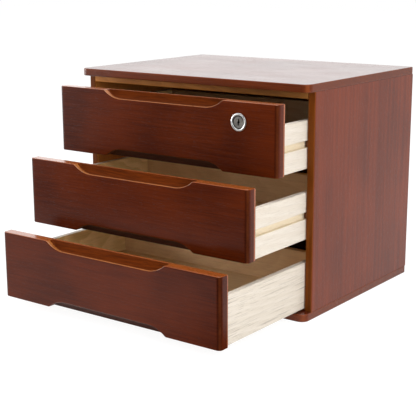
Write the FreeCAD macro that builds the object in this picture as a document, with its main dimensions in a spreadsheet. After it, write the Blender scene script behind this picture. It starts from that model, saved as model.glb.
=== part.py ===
import FreeCAD, Part
import os
import Sketcher

# Desktop file cabinet in wood: a carcass of two boards on two side panels, three drawers
# that hang on side runners, and a cam lock in the upper drawer's front.
# Millimetres. The origin is the middle of the base. +Z is up and the drawers open along -Y.
# Each drawer is drawn about the middle of its own face's lower edge and then placed.

# Driving sizes: name, value, meaning.
SIZES = (
    ("carcass_width", 370.0, "boards, left to right"),
    ("carcass_depth", 280.0, "boards, front to back"),
    ("carcass_height", 298.0, "underside of the lower board to the top of the upper one"),
    ("board_thickness", 10.0, "upper and lower board"),
    ("board_corner_radius", 11.0, "front corners of a board, in plan"),
    ("board_rear_radius", 4.0, "rear corners of a board, in plan"),
    ("board_arris", 1.0, "bevel along a board's upper and lower edges"),
    ("panel_thickness", 10.5, "side panel"),
    ("panel_inset", 0.5, "side panel's outer face behind the boards' ends"),
    ("panel_setback", 17.5, "side panel's front edge behind the boards' front edges"),
    ("panel_arris_radius", 2.0, "rounding of the side panel's front edges"),
    ("rear_inset", 0.5, "side and back panels behind the boards' rear edges"),
    ("back_thickness", 4.0, "back panel"),
    ("back_rebate", 4.0, "how far the back panel reaches into each side panel"),
    ("rail_height", 9.5, "lock rail, under the upper board"),
    ("rail_arris_radius", 2.0, "rounding of the lock rail's front edges"),
    ("front_thickness", 15.0, "drawer front"),
    ("front_overlay", 2.0, "drawer front over each side panel's front edge"),
    ("front_gap", 2.5, "between one drawer front and the next"),
    ("front_foot_gap", 1.3, "lowest drawer front above the lower board"),
    ("front_head_gap", 9.2, "upper drawer front below the upper board"),
    ("front_close_gap", 0.3, "shut drawer front ahead of the side panels"),
    ("front_edge_radius", 6.0, "upright edges of a drawer front's face"),
    ("front_arris", 1.2, "bevel along the upper and lower edges of a drawer front's face"),
    ("scoop_half_width", 97.5, "half of a finger scoop, where its crest leaves the edge"),
    ("scoop_drop", 10.3, "how far a scoop cuts into the edge"),
    ("scoop_end_radius", 43.0, "hollow curve at a scoop's end"),
    ("scoop_crest_radius", 5.0, "round crest at a scoop's end"),
    ("scoop_depth", 11.0, "a scoop, from the face; the wood behind it is whole"),
    ("scoop_rim", 2.0, "flat rim of a scoop, ahead of its hollow slope"),
    ("scoop_slope_radius", 25.0, "hollow slope that rises from a scoop's rim to the wood behind it"),
    ("box_clearance", 1.0, "drawer side to side panel"),
    ("box_drop", 26.0, "drawer sides and back below the front's upper edge"),
    ("box_foot", 1.5, "drawer sides above the front's lower edge"),
    ("box_inner_length", 213.6, "inside of a drawer, front to back"),
    ("box_side_thickness", 8.0, "drawer side"),
    ("box_back_thickness", 8.0, "drawer back"),
    ("box_back_rebate", 4.0, "drawer back into each drawer side"),
    ("box_arris_radius", 1.0, "upper edges of drawer sides and back"),
    ("tongue_thickness", 4.0, "tongue at the front end of a drawer side"),
    ("tongue_length", 3.0, "tongue into the drawer front"),
    ("bottom_thickness", 3.5, "drawer bottom"),
    ("bottom_foot", 9.2, "drawer bottom above the lower edge of the drawer side"),
    ("bottom_groove_depth", 3.0, "drawer bottom into the pieces around it"),
    ("groove_height", 9.0, "runner groove in a drawer side"),
    ("groove_foot", 26.0, "runner groove above the lower edge of the drawer side"),
    ("runner_height", 8.0, "side runner"),
    ("runner_thickness", 5.0, "side runner"),
    ("runner_length", 250.0, "side runners and glide strips"),
    ("runner_front_inset", 2.5, "runner's end behind the side panel's front edge"),
    ("runner_nose_radius", 2.5, "inner front edge of a runner"),
    ("runner_top_clearance", 0.3, "runner to the top of its groove"),
    ("runner_side_clearance", 0.5, "runner to the floor of its groove"),
    ("strip_width", 10.0, "glide strip under the lowest drawer"),
    ("strip_clearance", 0.3, "glide strip to the lowest drawer's side"),
    ("top_pull", 53.7, "upper drawer, out from shut"),
    ("middle_pull", 113.8, "middle drawer, out from shut"),
    ("bottom_pull", 167.9, "lowest drawer, out from shut"),
    ("dowel_radius", 3.0, "dowels between boards and side panels"),
    ("dowel_length", 24.0, "dowel"),
    ("dowel_in_board", 6.5, "length of dowel inside the board"),
    ("dowel_inset", 35.0, "first and last dowel from the side panel's edges"),
    ("dowel_count", 2.0, "dowels along one side panel, at one end"),
    ("dowel_bore_clearance", 0.1, "dowel to its bore, all round"),
    ("screw_head_radius", 2.8, "countersunk runner screw"),
    ("screw_head_depth", 1.6, "countersunk runner screw"),
    ("screw_shank_radius", 1.4, "countersunk runner screw"),
    ("screw_length", 12.5, "countersunk runner screw, over all"),
    ("screw_inset", 35.0, "runner screw from the runner's end"),
    ("screw_bore_clearance", 0.1, "runner screw to its bore, all round"),
    ("lock_inset", 55.5, "lock's axis in from the right-hand end of the drawer front"),
    ("lock_drop", 24.5, "lock's axis below the front's upper edge"),
    ("lock_flange_radius", 11.0, "lock's face ring"),
    ("lock_flange_proud", 1.8, "face ring ahead of the drawer's face"),
    ("lock_flange_bevel", 0.8, "outer edge of the face ring"),
    ("lock_recess_radius", 8.3, "mouth of the hollow inside the face ring"),
    ("lock_body_radius", 9.5, "lock's barrel"),
    ("lock_body_length", 25.0, "lock's barrel behind the drawer's face"),
    ("lock_body_flats", 16.0, "across the flats of the barrel"),
    ("lock_hole_clearance", 0.2, "barrel to its hole in the front, all round"),
    ("nut_flats", 24.0, "across the flats of the lock's nut"),
    ("nut_thickness", 4.0, "lock's nut"),
    ("nut_clearance", 0.1, "nut's bore to the barrel, all round"),
    ("plug_radius", 6.2, "turning plug"),
    ("plug_clearance", 0.05, "plug in the barrel, all round"),
    ("plug_head_radius", 6.9, "plug's head, which stops it from passing through"),
    ("plug_head_length", 1.6, "plug's head"),
    ("plug_sink", 0.9, "plug's face behind the front of the ring"),
    ("keyway_width", 1.8, "key slot"),
    ("keyway_height", 8.0, "key slot"),
    ("keyway_eye_radius", 1.7, "round hole in the middle of the key slot"),
    ("keyway_depth", 12.0, "key slot"),
    ("stub_width", 7.0, "square end of the plug, which drives the cam"),
    ("stub_clearance", 0.1, "square end to the cam's hole, each side"),
    ("cam_gap", 0.2, "cam behind the barrel's end"),
    ("cam_thickness", 2.0, "cam"),
    ("cam_reach", 32.0, "lock's axis to the tip of the cam"),
    ("cam_hub_radius", 8.0, "cam about the axis"),
    ("cam_tip_half_width", 6.0, "half of the cam's width at its tip"),
    ("cam_tip_radius", 3.0, "corners of the cam's tip"),
    ("cam_rail_gap", 0.9, "cam behind the lock rail with the drawer shut"),
    ("washer_radius", 6.0, "washer behind the cam"),
    ("washer_thickness", 0.8, "washer behind the cam"),
    ("cam_screw_radius", 2.0, "cam screw's shank"),
    ("cam_screw_length", 9.0, "cam screw's shank"),
    ("cam_screw_clearance", 0.1, "cam screw to the holes that it passes, all round"),
    ("cam_screw_head_radius", 3.8, "cam screw's head"),
    ("cam_screw_head_height", 2.6, "cam screw's head"),
    ("cam_screw_slot_width", 1.0, "slot in the cam screw's head"),
    ("cam_screw_slot_depth", 1.2, "slot in the cam screw's head"),
)

# Places that follow from the sizes: name, formula.
PLACES = (
    ("outer_half", "sizes.carcass_width / 2 - sizes.panel_inset"),
    ("inner_half", "outer_half - sizes.panel_thickness"),
    ("panel_height", "sizes.carcass_height - 2 * sizes.board_thickness"),
    ("panel_front", "sizes.panel_setback - sizes.carcass_depth / 2"),
    ("panel_rear", "sizes.carcass_depth / 2 - sizes.rear_inset"),
    ("back_front", "panel_rear - sizes.back_thickness"),
    ("upper_board_foot", "sizes.carcass_height - sizes.board_thickness"),
    ("closed_face", "panel_front - sizes.front_close_gap - sizes.front_thickness"),
    ("cam_front", "sizes.lock_body_length + sizes.cam_gap"),
    ("rail_rear", "closed_face + cam_front - sizes.cam_rail_gap"),
    ("front_opening", "panel_height - sizes.front_foot_gap - sizes.front_head_gap"),
    ("front_height", "(front_opening - 2 * sizes.front_gap) / 3"),
    ("row_pitch", "front_height + sizes.front_gap"),
    ("bottom_row", "sizes.board_thickness + sizes.front_foot_gap"),
    ("middle_row", "bottom_row + row_pitch"),
    ("top_row", "middle_row + row_pitch"),
    ("bottom_face", "closed_face - sizes.bottom_pull"),
    ("middle_face", "closed_face - sizes.middle_pull"),
    ("top_face", "closed_face - sizes.top_pull"),
    ("front_half", "inner_half + sizes.front_overlay"),
    ("front_rear_layer", "sizes.front_thickness - sizes.scoop_depth"),
    ("scoop_cos", "1 - sizes.scoop_drop / (sizes.scoop_end_radius + sizes.scoop_crest_radius)"),
    ("scoop_sin", "sqrt(1 - scoop_cos * scoop_cos)"),
    ("crest_half", "sizes.scoop_half_width - sizes.scoop_crest_radius * scoop_sin"),
    ("crest_drop", "sizes.scoop_crest_radius * (1 - scoop_cos)"),
    ("scoop_flat_half", "crest_half - sizes.scoop_end_radius * scoop_sin"),
    ("lock_place", "front_half - sizes.lock_inset"),
    ("lock_height", "front_height - sizes.lock_drop"),
    ("box_half", "inner_half - sizes.box_clearance"),
    ("box_inner_half", "box_half - sizes.box_side_thickness"),
    ("box_top", "front_height - sizes.box_drop"),
    ("box_inner_end", "sizes.front_thickness + sizes.box_inner_length"),
    ("box_end", "box_inner_end + sizes.box_back_thickness"),
    ("box_start", "sizes.front_thickness - sizes.tongue_length"),
    ("tongue_half", "box_inner_half + sizes.tongue_thickness"),
    ("back_half", "box_inner_half + sizes.box_back_rebate"),
    ("floor_under", "sizes.box_foot + sizes.bottom_foot"),
    ("floor_over", "floor_under + sizes.bottom_thickness"),
    ("floor_half", "box_inner_half + sizes.bottom_groove_depth"),
    ("floor_start", "sizes.front_thickness - sizes.bottom_groove_depth"),
    ("floor_end", "box_inner_end + sizes.bottom_groove_depth"),
    ("groove_under", "sizes.box_foot + sizes.groove_foot"),
    ("groove_over", "groove_under + sizes.groove_height"),
    ("runner_half", "inner_half - sizes.runner_thickness"),
    ("groove_half", "runner_half - sizes.runner_side_clearance"),
    ("runner_foot", "groove_over - sizes.runner_top_clearance - sizes.runner_height"),
    ("runner_start", "panel_front + sizes.runner_front_inset"),
    ("strip_height", "bottom_row + sizes.box_foot - sizes.strip_clearance - sizes.board_thickness"),
    ("strip_half", "inner_half - sizes.strip_width"),
    ("dowel_line", "(inner_half + outer_half) / 2"),
    ("dowel_start", "panel_front + sizes.dowel_inset"),
    ("dowel_step", "(panel_rear - sizes.dowel_inset - dowel_start) / (sizes.dowel_count - 1)"),
    ("lower_dowel_foot", "sizes.board_thickness - sizes.dowel_in_board"),
    ("upper_dowel_foot", "upper_board_foot + sizes.dowel_in_board - sizes.dowel_length"),
    ("screw_level", "runner_foot + sizes.runner_height / 2"),
    ("screw_start", "runner_start + sizes.screw_inset"),
    ("screw_step", "sizes.runner_length - 2 * sizes.screw_inset"),
    ("plug_face", "sizes.plug_sink - sizes.lock_flange_proud"),
    ("plug_head_end", "plug_face + sizes.plug_head_length"),
    ("plug_bore", "sizes.plug_radius + sizes.plug_clearance"),
    ("head_bore", "sizes.plug_head_radius + sizes.plug_clearance"),
    ("cam_rear", "cam_front + sizes.cam_thickness"),
    ("stub_end", "cam_rear - sizes.cam_gap"),
    ("washer_rear", "cam_rear + sizes.washer_thickness"),
    ("cam_screw_tip", "washer_rear - sizes.cam_screw_length"),
    ("cam_screw_end", "washer_rear + sizes.cam_screw_head_height"),
    ("cam_screw_bore", "sizes.cam_screw_radius + sizes.cam_screw_clearance"),
)

RIGHT = 1
LEFT = -1
HANDS = (("left", LEFT), ("right", RIGHT))
DRAWERS = ("top", "middle", "bottom")
HUNG_DRAWERS = ("top", "middle")
TOLERANCE = 1e-4
SPARE = "5"  # how far a cutting outline stands clear of the wood that it cuts
PARTS_FOLDER = "parts"

doc = FreeCAD.newDocument("desktop_file_drawer")
sub_parts = []


# ---------------------------------------------------------------- sheets and helpers

def fill_sheets():
    """Driving sizes as plain numbers, and the places worked out from them."""
    sizes = doc.addObject("Spreadsheet::Sheet", "sizes")
    for row, (alias, value, meaning) in enumerate(SIZES, start=1):
        sizes.set(f"A{row}", meaning)
        sizes.set(f"B{row}", str(value))
        sizes.setAlias(f"B{row}", alias)
    doc.recompute()
    places = doc.addObject("Spreadsheet::Sheet", "places")
    for row, (alias, formula) in enumerate(PLACES, start=1):
        places.set(f"B{row}", f"={formula}")
        places.setAlias(f"B{row}", alias)
    doc.recompute()


def number(expression):
    """Present value of an expression in the sheets' names."""
    value = doc.getObject("sizes").evalExpression(expression)
    return float(getattr(value, "Value", value))


def bind(thing, **expressions):
    """Tie properties to expressions; a double underscore stands for a dot."""
    for name, expression in expressions.items():
        thing.setExpression(name.replace("__", "."), expression)
    return thing


def keep(thing, node):
    """Name a finished sub-part and list it for export."""
    thing.Label = node
    sub_parts.append(thing)
    return thing


def primitive(kind, name, **expressions):
    """Part primitive such as Box or Cylinder with bound sizes and place."""
    return bind(doc.addObject(f"Part::{kind}", name), **expressions)


def group(name, members):
    """Separate solids held in one compound."""
    compound = doc.addObject("Part::Compound", name)
    compound.Links = members
    return compound


def bored(node, blank, tool):
    """Sub-part made by cutting a tool's holes out of its blank."""
    blank.Label = f"{node}_blank"
    cut = doc.addObject("Part::Cut", f"{node}_bored")
    cut.Base = blank
    cut.Tool = tool
    return keep(cut, node)


def new_body(name, **placement):
    """PartDesign body, placed by expressions."""
    return bind(doc.addObject("PartDesign::Body", f"{name}_body"), **placement)


def new_sketch(body, name, plane, offset="0"):
    """Sketch on one of the body's origin planes, moved along the plane's normal."""
    sketch = body.newObject("Sketcher::SketchObject", name)
    support = next(item for item in body.Origin.OriginFeatures if item.Role == plane)
    sketch.AttachmentSupport = [(support, "")]
    sketch.MapMode = "FlatFace"
    if offset != "0":
        sketch.setExpression("AttachmentOffset.Base.z", offset)
    return sketch


def pin_point(sketch, side, end, axis, expression):
    """Hold one point of a sketch at a bound distance from the origin."""
    if expression == "0":
        axis_line = {"X": -2, "Y": -1}[axis]
        sketch.addConstraint(Sketcher.Constraint("PointOnObject", side, end, axis_line))
        return
    value = number(expression)
    index = sketch.addConstraint(Sketcher.Constraint(f"Distance{axis}", -1, 1, side, end, value))
    sketch.setExpression(f"Constraints[{index}]", expression)


def arc_through(start, end, radius, turn):
    """Arc of a circle from start to end; turn is 1 for a left-hand bend, -1 for a right-hand one."""
    chord = end - start
    middle = (start + end) * 0.5
    reach = max(radius ** 2 - (chord.Length / 2) ** 2, 0.0) ** 0.5
    to_centre = FreeCAD.Vector(-chord.y, chord.x, 0).normalize() * reach * turn
    centre = middle + to_centre
    towards = (middle - centre).normalize() if reach > TOLERANCE else (middle + to_centre)
    crown = centre + towards * radius
    return Part.Arc(start, crown, end)


def outline(sketch, points, arcs=None):
    """Closed outline through points, pairs of expressions.

    arcs maps the number of a side to its radius expression and its turn.
    """
    arcs = arcs or {}
    corners = [FreeCAD.Vector(number(x), number(y), 0) for x, y in points]
    first = sketch.GeometryCount
    ends = []
    for side, start in enumerate(corners):
        end = corners[(side + 1) % len(corners)]
        if side in arcs:
            radius, turn = arcs[side]
            sketch.addGeometry(arc_through(start, end, number(radius), turn), False)
            ends.append((1, 2) if turn > 0 else (2, 1))
        else:
            sketch.addGeometry(Part.LineSegment(start, end), False)
            ends.append((1, 2))
    for side, (x, y) in enumerate(points):
        following = (side + 1) % len(points)
        sketch.addConstraint(Sketcher.Constraint(
            "Coincident", first + side, ends[side][1], first + following, ends[following][0]))
        pin_point(sketch, first + side, ends[side][0], "X", x)
        pin_point(sketch, first + side, ends[side][0], "Y", y)
    for side, (radius, turn) in arcs.items():
        index = sketch.addConstraint(Sketcher.Constraint("Radius", first + side, number(radius)))
        sketch.setExpression(f"Constraints[{index}]", radius)


def rectangle(sketch, left, lower, right, upper):
    """Closed rectangle between four bound lines."""
    outline(sketch, ((left, lower), (right, lower), (right, upper), (left, upper)))


def circle(sketch, x, y, radius):
    """Circle at a bound centre."""
    centre = FreeCAD.Vector(number(x), number(y), 0)
    ring = sketch.addGeometry(Part.Circle(centre, FreeCAD.Vector(0, 0, 1), number(radius)), False)
    pin_point(sketch, ring, 3, "X", x)
    pin_point(sketch, ring, 3, "Y", y)
    index = sketch.addConstraint(Sketcher.Constraint("Radius", ring, number(radius)))
    sketch.setExpression(f"Constraints[{index}]", radius)


def pad(body, sketch, length, reverse=False):
    """Add the sketch's area, along its normal unless reversed."""
    feature = body.newObject("PartDesign::Pad", f"{sketch.Name}_pad")
    feature.Profile = sketch
    feature.Reversed = reverse
    bind(feature, Length=length)
    doc.recompute()
    return feature


def pocket(body, sketch, length=None, reverse=False):
    """Cut the sketch's area away, against its normal unless reversed; no length cuts right through."""
    before = body.Shape.Volume
    feature = body.newObject("PartDesign::Pocket", f"{sketch.Name}_pocket")
    feature.Profile = sketch
    feature.Reversed = reverse
    if length is None:
        feature.Type = "ThroughAll"
    else:
        bind(feature, Length=length)
    doc.recompute()
    if body.Shape.Volume >= before - TOLERANCE:
        raise RuntimeError(f"{feature.Name} cuts nothing")
    return feature


def revolve(body, sketch):
    """Turn the sketch's area about the body's own Y axis."""
    feature = body.newObject("PartDesign::Revolution", f"{sketch.Name}_turned")
    feature.Profile = sketch
    feature.ReferenceAxis = (sketch, ["V_Axis"])
    feature.Angle = 360
    doc.recompute()
    return feature


def at(value, expression):
    """Whether a coordinate lies on a bound line."""
    return abs(value - number(expression)) < TOLERANCE


def runs_along(edge, axis):
    """Whether an edge keeps to one line along the named axis."""
    ends = [vertex.Point for vertex in edge.Vertexes]
    others = [name for name in "xyz" if name != axis]
    return len(ends) == 2 and all(
        abs(getattr(ends[0], name) - getattr(ends[1], name)) < TOLERANCE for name in others)


def edges_where(body, test, along=None, across=None):
    """Names of the body's edges whose ends, in its own frame, pass the test.

    Only edges along one axis are named, or only those that do not run across, if given.
    """
    names = []
    for index, edge in enumerate(body.Shape.Edges, start=1):
        if along and not runs_along(edge, along):
            continue
        if across and runs_along(edge, across):
            continue
        if all(test(vertex.Point - body.Placement.Base) for vertex in edge.Vertexes):
            names.append(f"Edge{index}")
    return names


def dress(body, kind, edges, size, name):
    """Fillet or chamfer named edges of the body by a bound size."""
    base = body.Tip
    feature = body.newObject(f"PartDesign::{kind}", name)
    feature.Base = (base, edges)
    bind(feature, **{{"Fillet": "Radius", "Chamfer": "Size"}[kind]: size})
    doc.recompute()
    return feature


# ---------------------------------------------------------------- carcass

def board(node, foot):
    """Upper or lower board: rounded corners in plan and bevelled edges all round."""
    body = new_body(node, Placement__Base__z=foot)
    plan = new_sketch(body, f"{node}_plan", "XY_Plane")
    half_width = "sizes.carcass_width / 2"
    half_depth = "sizes.carcass_depth / 2"
    rectangle(plan, f"-{half_width}", f"-{half_depth}", half_width, half_depth)
    pad(body, plan, "sizes.board_thickness")
    front = edges_where(body, lambda p: at(p.y, f"-{half_depth}"), along="z")
    dress(body, "Fillet", front, "sizes.board_corner_radius", f"{node}_front_corners")
    rear = edges_where(body, lambda p: at(p.y, half_depth), along="z")
    dress(body, "Fillet", rear, "sizes.board_rear_radius", f"{node}_rear_corners")
    rims = edges_where(body, lambda p: True, across="z")
    dress(body, "Chamfer", rims, "sizes.board_arris", f"{node}_rims")
    return body


def side_panel(name, hand):
    """Side panel, drawn in plan: rounded front edges and a rebate for the back panel."""
    node = f"{name}_side_panel"
    body = new_body(node, Placement__Base__z="sizes.board_thickness")
    plan = new_sketch(body, f"{node}_plan", "XY_Plane")
    inner = f"{hand} * places.inner_half"
    outer = f"{hand} * places.outer_half"
    rebate = f"{hand} * (places.inner_half + sizes.back_rebate)"
    outline(plan, (
        (inner, "places.panel_front"),
        (outer, "places.panel_front"),
        (outer, "places.panel_rear"),
        (rebate, "places.panel_rear"),
        (rebate, "places.back_front"),
        (inner, "places.back_front"),
    ))
    pad(body, plan, "places.panel_height")
    front = edges_where(body, lambda p: at(p.y, "places.panel_front"), along="z")
    dress(body, "Fillet", front, "sizes.panel_arris_radius", f"{node}_front_edges")
    return body


def back_panel():
    """Thin back, let into the side panels' rebates."""
    half = "(places.inner_half + sizes.back_rebate)"
    keep(primitive(
        "Box", "back_panel_box",
        Length=f"2 * {half}", Width="sizes.back_thickness", Height="places.panel_height",
        Placement__Base__x=f"-{half}", Placement__Base__y="places.back_front",
        Placement__Base__z="sizes.board_thickness"), "back_panel")


def lock_rail():
    """Rail under the upper board, which the lock's cam turns up behind."""
    body = new_body("lock_rail", Placement__Base__z="places.upper_board_foot")
    section = new_sketch(body, "lock_rail_section", "YZ_Plane", "-places.inner_half")
    rectangle(section, "places.panel_front", "-sizes.rail_height", "places.rail_rear", "0")
    pad(body, section, "2 * places.inner_half")
    front = edges_where(body, lambda p: at(p.y, "places.panel_front"), along="x")
    dress(body, "Fillet", front, "sizes.rail_arris_radius", "lock_rail_front_edges")
    keep(body, "lock_rail")


def dowel_set(name, foot, radius):
    """Upright dowels along both side panels, all in one body."""
    body = new_body(name, Placement__Base__z=foot)
    body.AllowCompound = True
    plan = new_sketch(body, f"{name}_plan", "XY_Plane")
    for hand in (LEFT, RIGHT):
        for index in range(int(number("sizes.dowel_count"))):
            circle(plan, f"{hand} * places.dowel_line",
                   f"places.dowel_start + {index} * places.dowel_step", radius)
    pad(body, plan, "sizes.dowel_length")
    return body


def runner_screw(name, hand, row, index, grow):
    """Countersunk screw through a runner into its side panel, with its axis along X."""
    y = f"places.screw_start + {index} * places.screw_step"
    z = f"places.{row}_row + places.screw_level"
    axis = FreeCAD.Rotation(FreeCAD.Vector(0, 0, 1), FreeCAD.Vector(hand, 0, 0))
    head = primitive(
        "Cone", f"{name}_head",
        Radius1=f"sizes.screw_head_radius + {grow}", Radius2=f"sizes.screw_shank_radius + {grow}",
        Height="sizes.screw_head_depth")
    shank = primitive(
        "Cylinder", f"{name}_shank",
        Radius=f"sizes.screw_shank_radius + {grow}", Height="sizes.screw_length")
    for piece in (head, shank):
        piece.Placement = FreeCAD.Placement(FreeCAD.Vector(), axis)
        bind(piece, Placement__Base__x=f"{hand} * places.runner_half",
             Placement__Base__y=y, Placement__Base__z=z)
    screw = doc.addObject("Part::MultiFuse", name)
    screw.Shapes = [head, shank]
    return screw


def runner_screws(name, grow):
    """Two screws for each side runner."""
    screws = []
    for row in HUNG_DRAWERS:
        for side, hand in HANDS:
            for index in (0, 1):
                screws.append(runner_screw(f"{name}_{row}_{side}_{index}", hand, row, index, grow))
    return group(name, screws)


def runner_blank(node, row, hand):
    """Strip of hard wood on a side panel, rounded where the drawer's groove meets it."""
    body = new_body(node, Placement__Base__y="places.runner_start",
                    Placement__Base__z=f"places.{row}_row + places.runner_foot")
    plan = new_sketch(body, f"{node}_plan", "XY_Plane")
    rectangle(plan, f"{hand} * places.runner_half", "0",
              f"{hand} * places.inner_half", "sizes.runner_length")
    pad(body, plan, "sizes.runner_height")
    nose = edges_where(
        body, lambda p: at(p.y, "0") and at(abs(p.x), "places.runner_half"), along="z")
    dress(body, "Fillet", nose, "sizes.runner_nose_radius", f"{node}_nose")
    return body


def glide_strip(name, hand):
    """Thin strip on the lower board that carries one side of the lowest drawer."""
    low_corner = "places.strip_half" if hand == RIGHT else "-places.inner_half"
    keep(primitive(
        "Box", f"{name}_glide_strip_box",
        Length="sizes.strip_width", Width="sizes.runner_length", Height="places.strip_height",
        Placement__Base__x=low_corner, Placement__Base__y="places.runner_start",
        Placement__Base__z="sizes.board_thickness"), f"{name}_glide_strip")


def carcass():
    """All fixed pieces of the cabinet, each bored for the dowels and screws that it holds."""
    grow_dowel = "sizes.dowel_radius + sizes.dowel_bore_clearance"
    lower_bores = dowel_set("lower_dowel_bores", "places.lower_dowel_foot", grow_dowel)
    upper_bores = dowel_set("upper_dowel_bores", "places.upper_dowel_foot", grow_dowel)
    screw_bores = runner_screws("runner_screw_bores", "sizes.screw_bore_clearance")
    panel_bores = group("panel_bores", [lower_bores, upper_bores, screw_bores])

    bored("bottom_board", board("bottom_board", "0"), lower_bores)
    bored("top_board", board("top_board", "places.upper_board_foot"), upper_bores)
    for name, hand in HANDS:
        bored(f"{name}_side_panel", side_panel(name, hand), panel_bores)
    back_panel()
    lock_rail()
    for row in HUNG_DRAWERS:
        for name, hand in HANDS:
            node = f"{row}_{name}_runner"
            bored(node, runner_blank(node, row, hand), screw_bores)
    for name, hand in HANDS:
        glide_strip(name, hand)
    for level in ("lower", "upper"):
        node = f"{level}_dowels"
        keep(dowel_set(node, f"places.{level}_dowel_foot", "sizes.dowel_radius"), node)
    keep(runner_screws("runner_screws", "0"), "runner_screws")


# ---------------------------------------------------------------- drawers

def drawer_body(node, row):
    """Body drawn about the middle of its drawer's lower front edge."""
    return new_body(node, Placement__Base__y=f"places.{row}_face",
                    Placement__Base__z=f"places.{row}_row")


def scooped_outline(sketch):
    """Face of a drawer front: an ogee-ended scoop in its upper edge and one in its lower edge."""
    upper = "places.front_height"
    half = "places.front_half"
    lip = "sizes.scoop_half_width"
    crest = "places.crest_half"
    flat = "places.scoop_flat_half"
    outline(
        sketch,
        (
            (f"-{half}", "0"),
            (f"-{lip}", "0"),
            (f"-{crest}", "places.crest_drop"),
            (f"-{flat}", "sizes.scoop_drop"),
            (flat, "sizes.scoop_drop"),
            (crest, "places.crest_drop"),
            (lip, "0"),
            (half, "0"),
            (half, upper),
            (lip, upper),
            (crest, f"{upper} - places.crest_drop"),
            (flat, f"{upper} - sizes.scoop_drop"),
            (f"-{flat}", f"{upper} - sizes.scoop_drop"),
            (f"-{crest}", f"{upper} - places.crest_drop"),
            (f"-{lip}", upper),
            (f"-{half}", upper),
        ),
        {side: ("sizes.scoop_crest_radius", 1) for side in (1, 5, 9, 13)}
        | {side: ("sizes.scoop_end_radius", -1) for side in (2, 4, 10, 12)},
    )


def slope_scoop(body, node, place, edge, turned):
    """Fill a scoop's inner corner with a hollow slope; turned tells an upper scoop from a lower one."""
    section = new_sketch(body, f"{node}_{place}_slope", "YZ_Plane", "-sizes.scoop_half_width")
    floor = f"{edge} {'-' if turned else '+'} sizes.scoop_drop"
    rim = ("sizes.scoop_rim", floor)
    corner = ("sizes.scoop_depth", floor)
    crown = ("sizes.scoop_depth", edge)
    if turned:
        outline(section, (rim, corner, crown), {2: ("sizes.scoop_slope_radius", -1)})
    else:
        outline(section, (rim, crown, corner), {0: ("sizes.scoop_slope_radius", -1)})
    pad(body, section, "2 * sizes.scoop_half_width")


def drawer_front(row):
    """Drawer front: scooped face layer on a whole rear layer, housed for the drawer box."""
    node = f"{row}_front"
    body = drawer_body(node, row)
    face = new_sketch(body, f"{node}_face", "XZ_Plane")
    scooped_outline(face)
    pad(body, face, "sizes.scoop_depth", reverse=True)
    rear = new_sketch(body, f"{node}_rear", "XZ_Plane", "-sizes.scoop_depth")
    rectangle(rear, "-places.front_half", "0", "places.front_half", "places.front_height")
    pad(body, rear, "places.front_rear_layer", reverse=True)

    upright = edges_where(body, lambda p: at(p.y, "0"), along="z")
    dress(body, "Fillet", upright, "sizes.front_edge_radius", f"{node}_upright_edges")
    rims = edges_where(body, lambda p: at(p.y, "0"), across="z")
    dress(body, "Chamfer", rims, "sizes.front_arris", f"{node}_rims")
    slope_scoop(body, node, "upper", "places.front_height", turned=True)
    slope_scoop(body, node, "lower", "0", turned=False)

    house_box(body, node)
    if row == "top":
        hole = new_sketch(body, f"{node}_lock_hole", "XZ_Plane")
        circle(hole, "places.lock_place", "places.lock_height",
               "sizes.lock_body_radius + sizes.lock_hole_clearance")
        pocket(body, hole)
    keep(body, node)


def house_box(body, node):
    """Housings in the rear face: one for each side's tongue and one for the bottom's edge."""
    tongues = new_sketch(body, f"{node}_tongues", "XZ_Plane", "-sizes.front_thickness")
    for hand in (LEFT, RIGHT):
        rectangle(tongues, f"{hand} * places.box_inner_half", "sizes.box_foot",
                  f"{hand} * places.tongue_half", "places.box_top")
    pocket(body, tongues, "sizes.tongue_length", reverse=True)
    groove = new_sketch(body, f"{node}_floor_groove", "XZ_Plane", "-sizes.front_thickness")
    rectangle(groove, "-places.floor_half", "places.floor_under",
              "places.floor_half", "places.floor_over")
    pocket(body, groove, "sizes.bottom_groove_depth", reverse=True)


def drawer_side(row, name, hand):
    """Drawer side: section with the runner's and the bottom's grooves, tongued and rebated."""
    node = f"{row}_{name}_side"
    body = drawer_body(node, row)
    inner = f"{hand} * places.box_inner_half"
    outer = f"{hand} * places.box_half"
    hollow = f"{hand} * places.groove_half"
    floor = f"{hand} * places.floor_half"
    runner_groove = (
        (outer, "places.groove_under"),
        (hollow, "places.groove_under"),
        (hollow, "places.groove_over"),
        (outer, "places.groove_over"),
    ) if row in HUNG_DRAWERS else ()
    section = new_sketch(body, f"{node}_section", "XZ_Plane", "-places.box_start")
    outline(section, (
        (inner, "sizes.box_foot"),
        (outer, "sizes.box_foot"),
        *runner_groove,
        (outer, "places.box_top"),
        (inner, "places.box_top"),
        (inner, "places.floor_over"),
        (floor, "places.floor_over"),
        (floor, "places.floor_under"),
        (inner, "places.floor_under"),
    ))
    pad(body, section, "places.box_end - places.box_start", reverse=True)
    soften_top(body, node, "y")

    ends = new_sketch(body, f"{node}_ends", "XY_Plane")
    rectangle(ends, f"{hand} * places.tongue_half", f"places.box_start - {SPARE}",
              f"{hand} * (places.box_half + {SPARE})", "sizes.front_thickness")
    rectangle(ends, f"{hand} * (places.box_inner_half - {SPARE})", "places.box_inner_end",
              f"{hand} * places.back_half", f"places.box_end + {SPARE}")
    pocket(body, ends, reverse=True)
    keep(body, node)


def soften_top(body, node, along):
    """Round the two long upper edges of a drawer side or back."""
    top = edges_where(body, lambda p: at(p.z, "places.box_top"), along=along)
    dress(body, "Fillet", top, "sizes.box_arris_radius", f"{node}_upper_edges")


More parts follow.
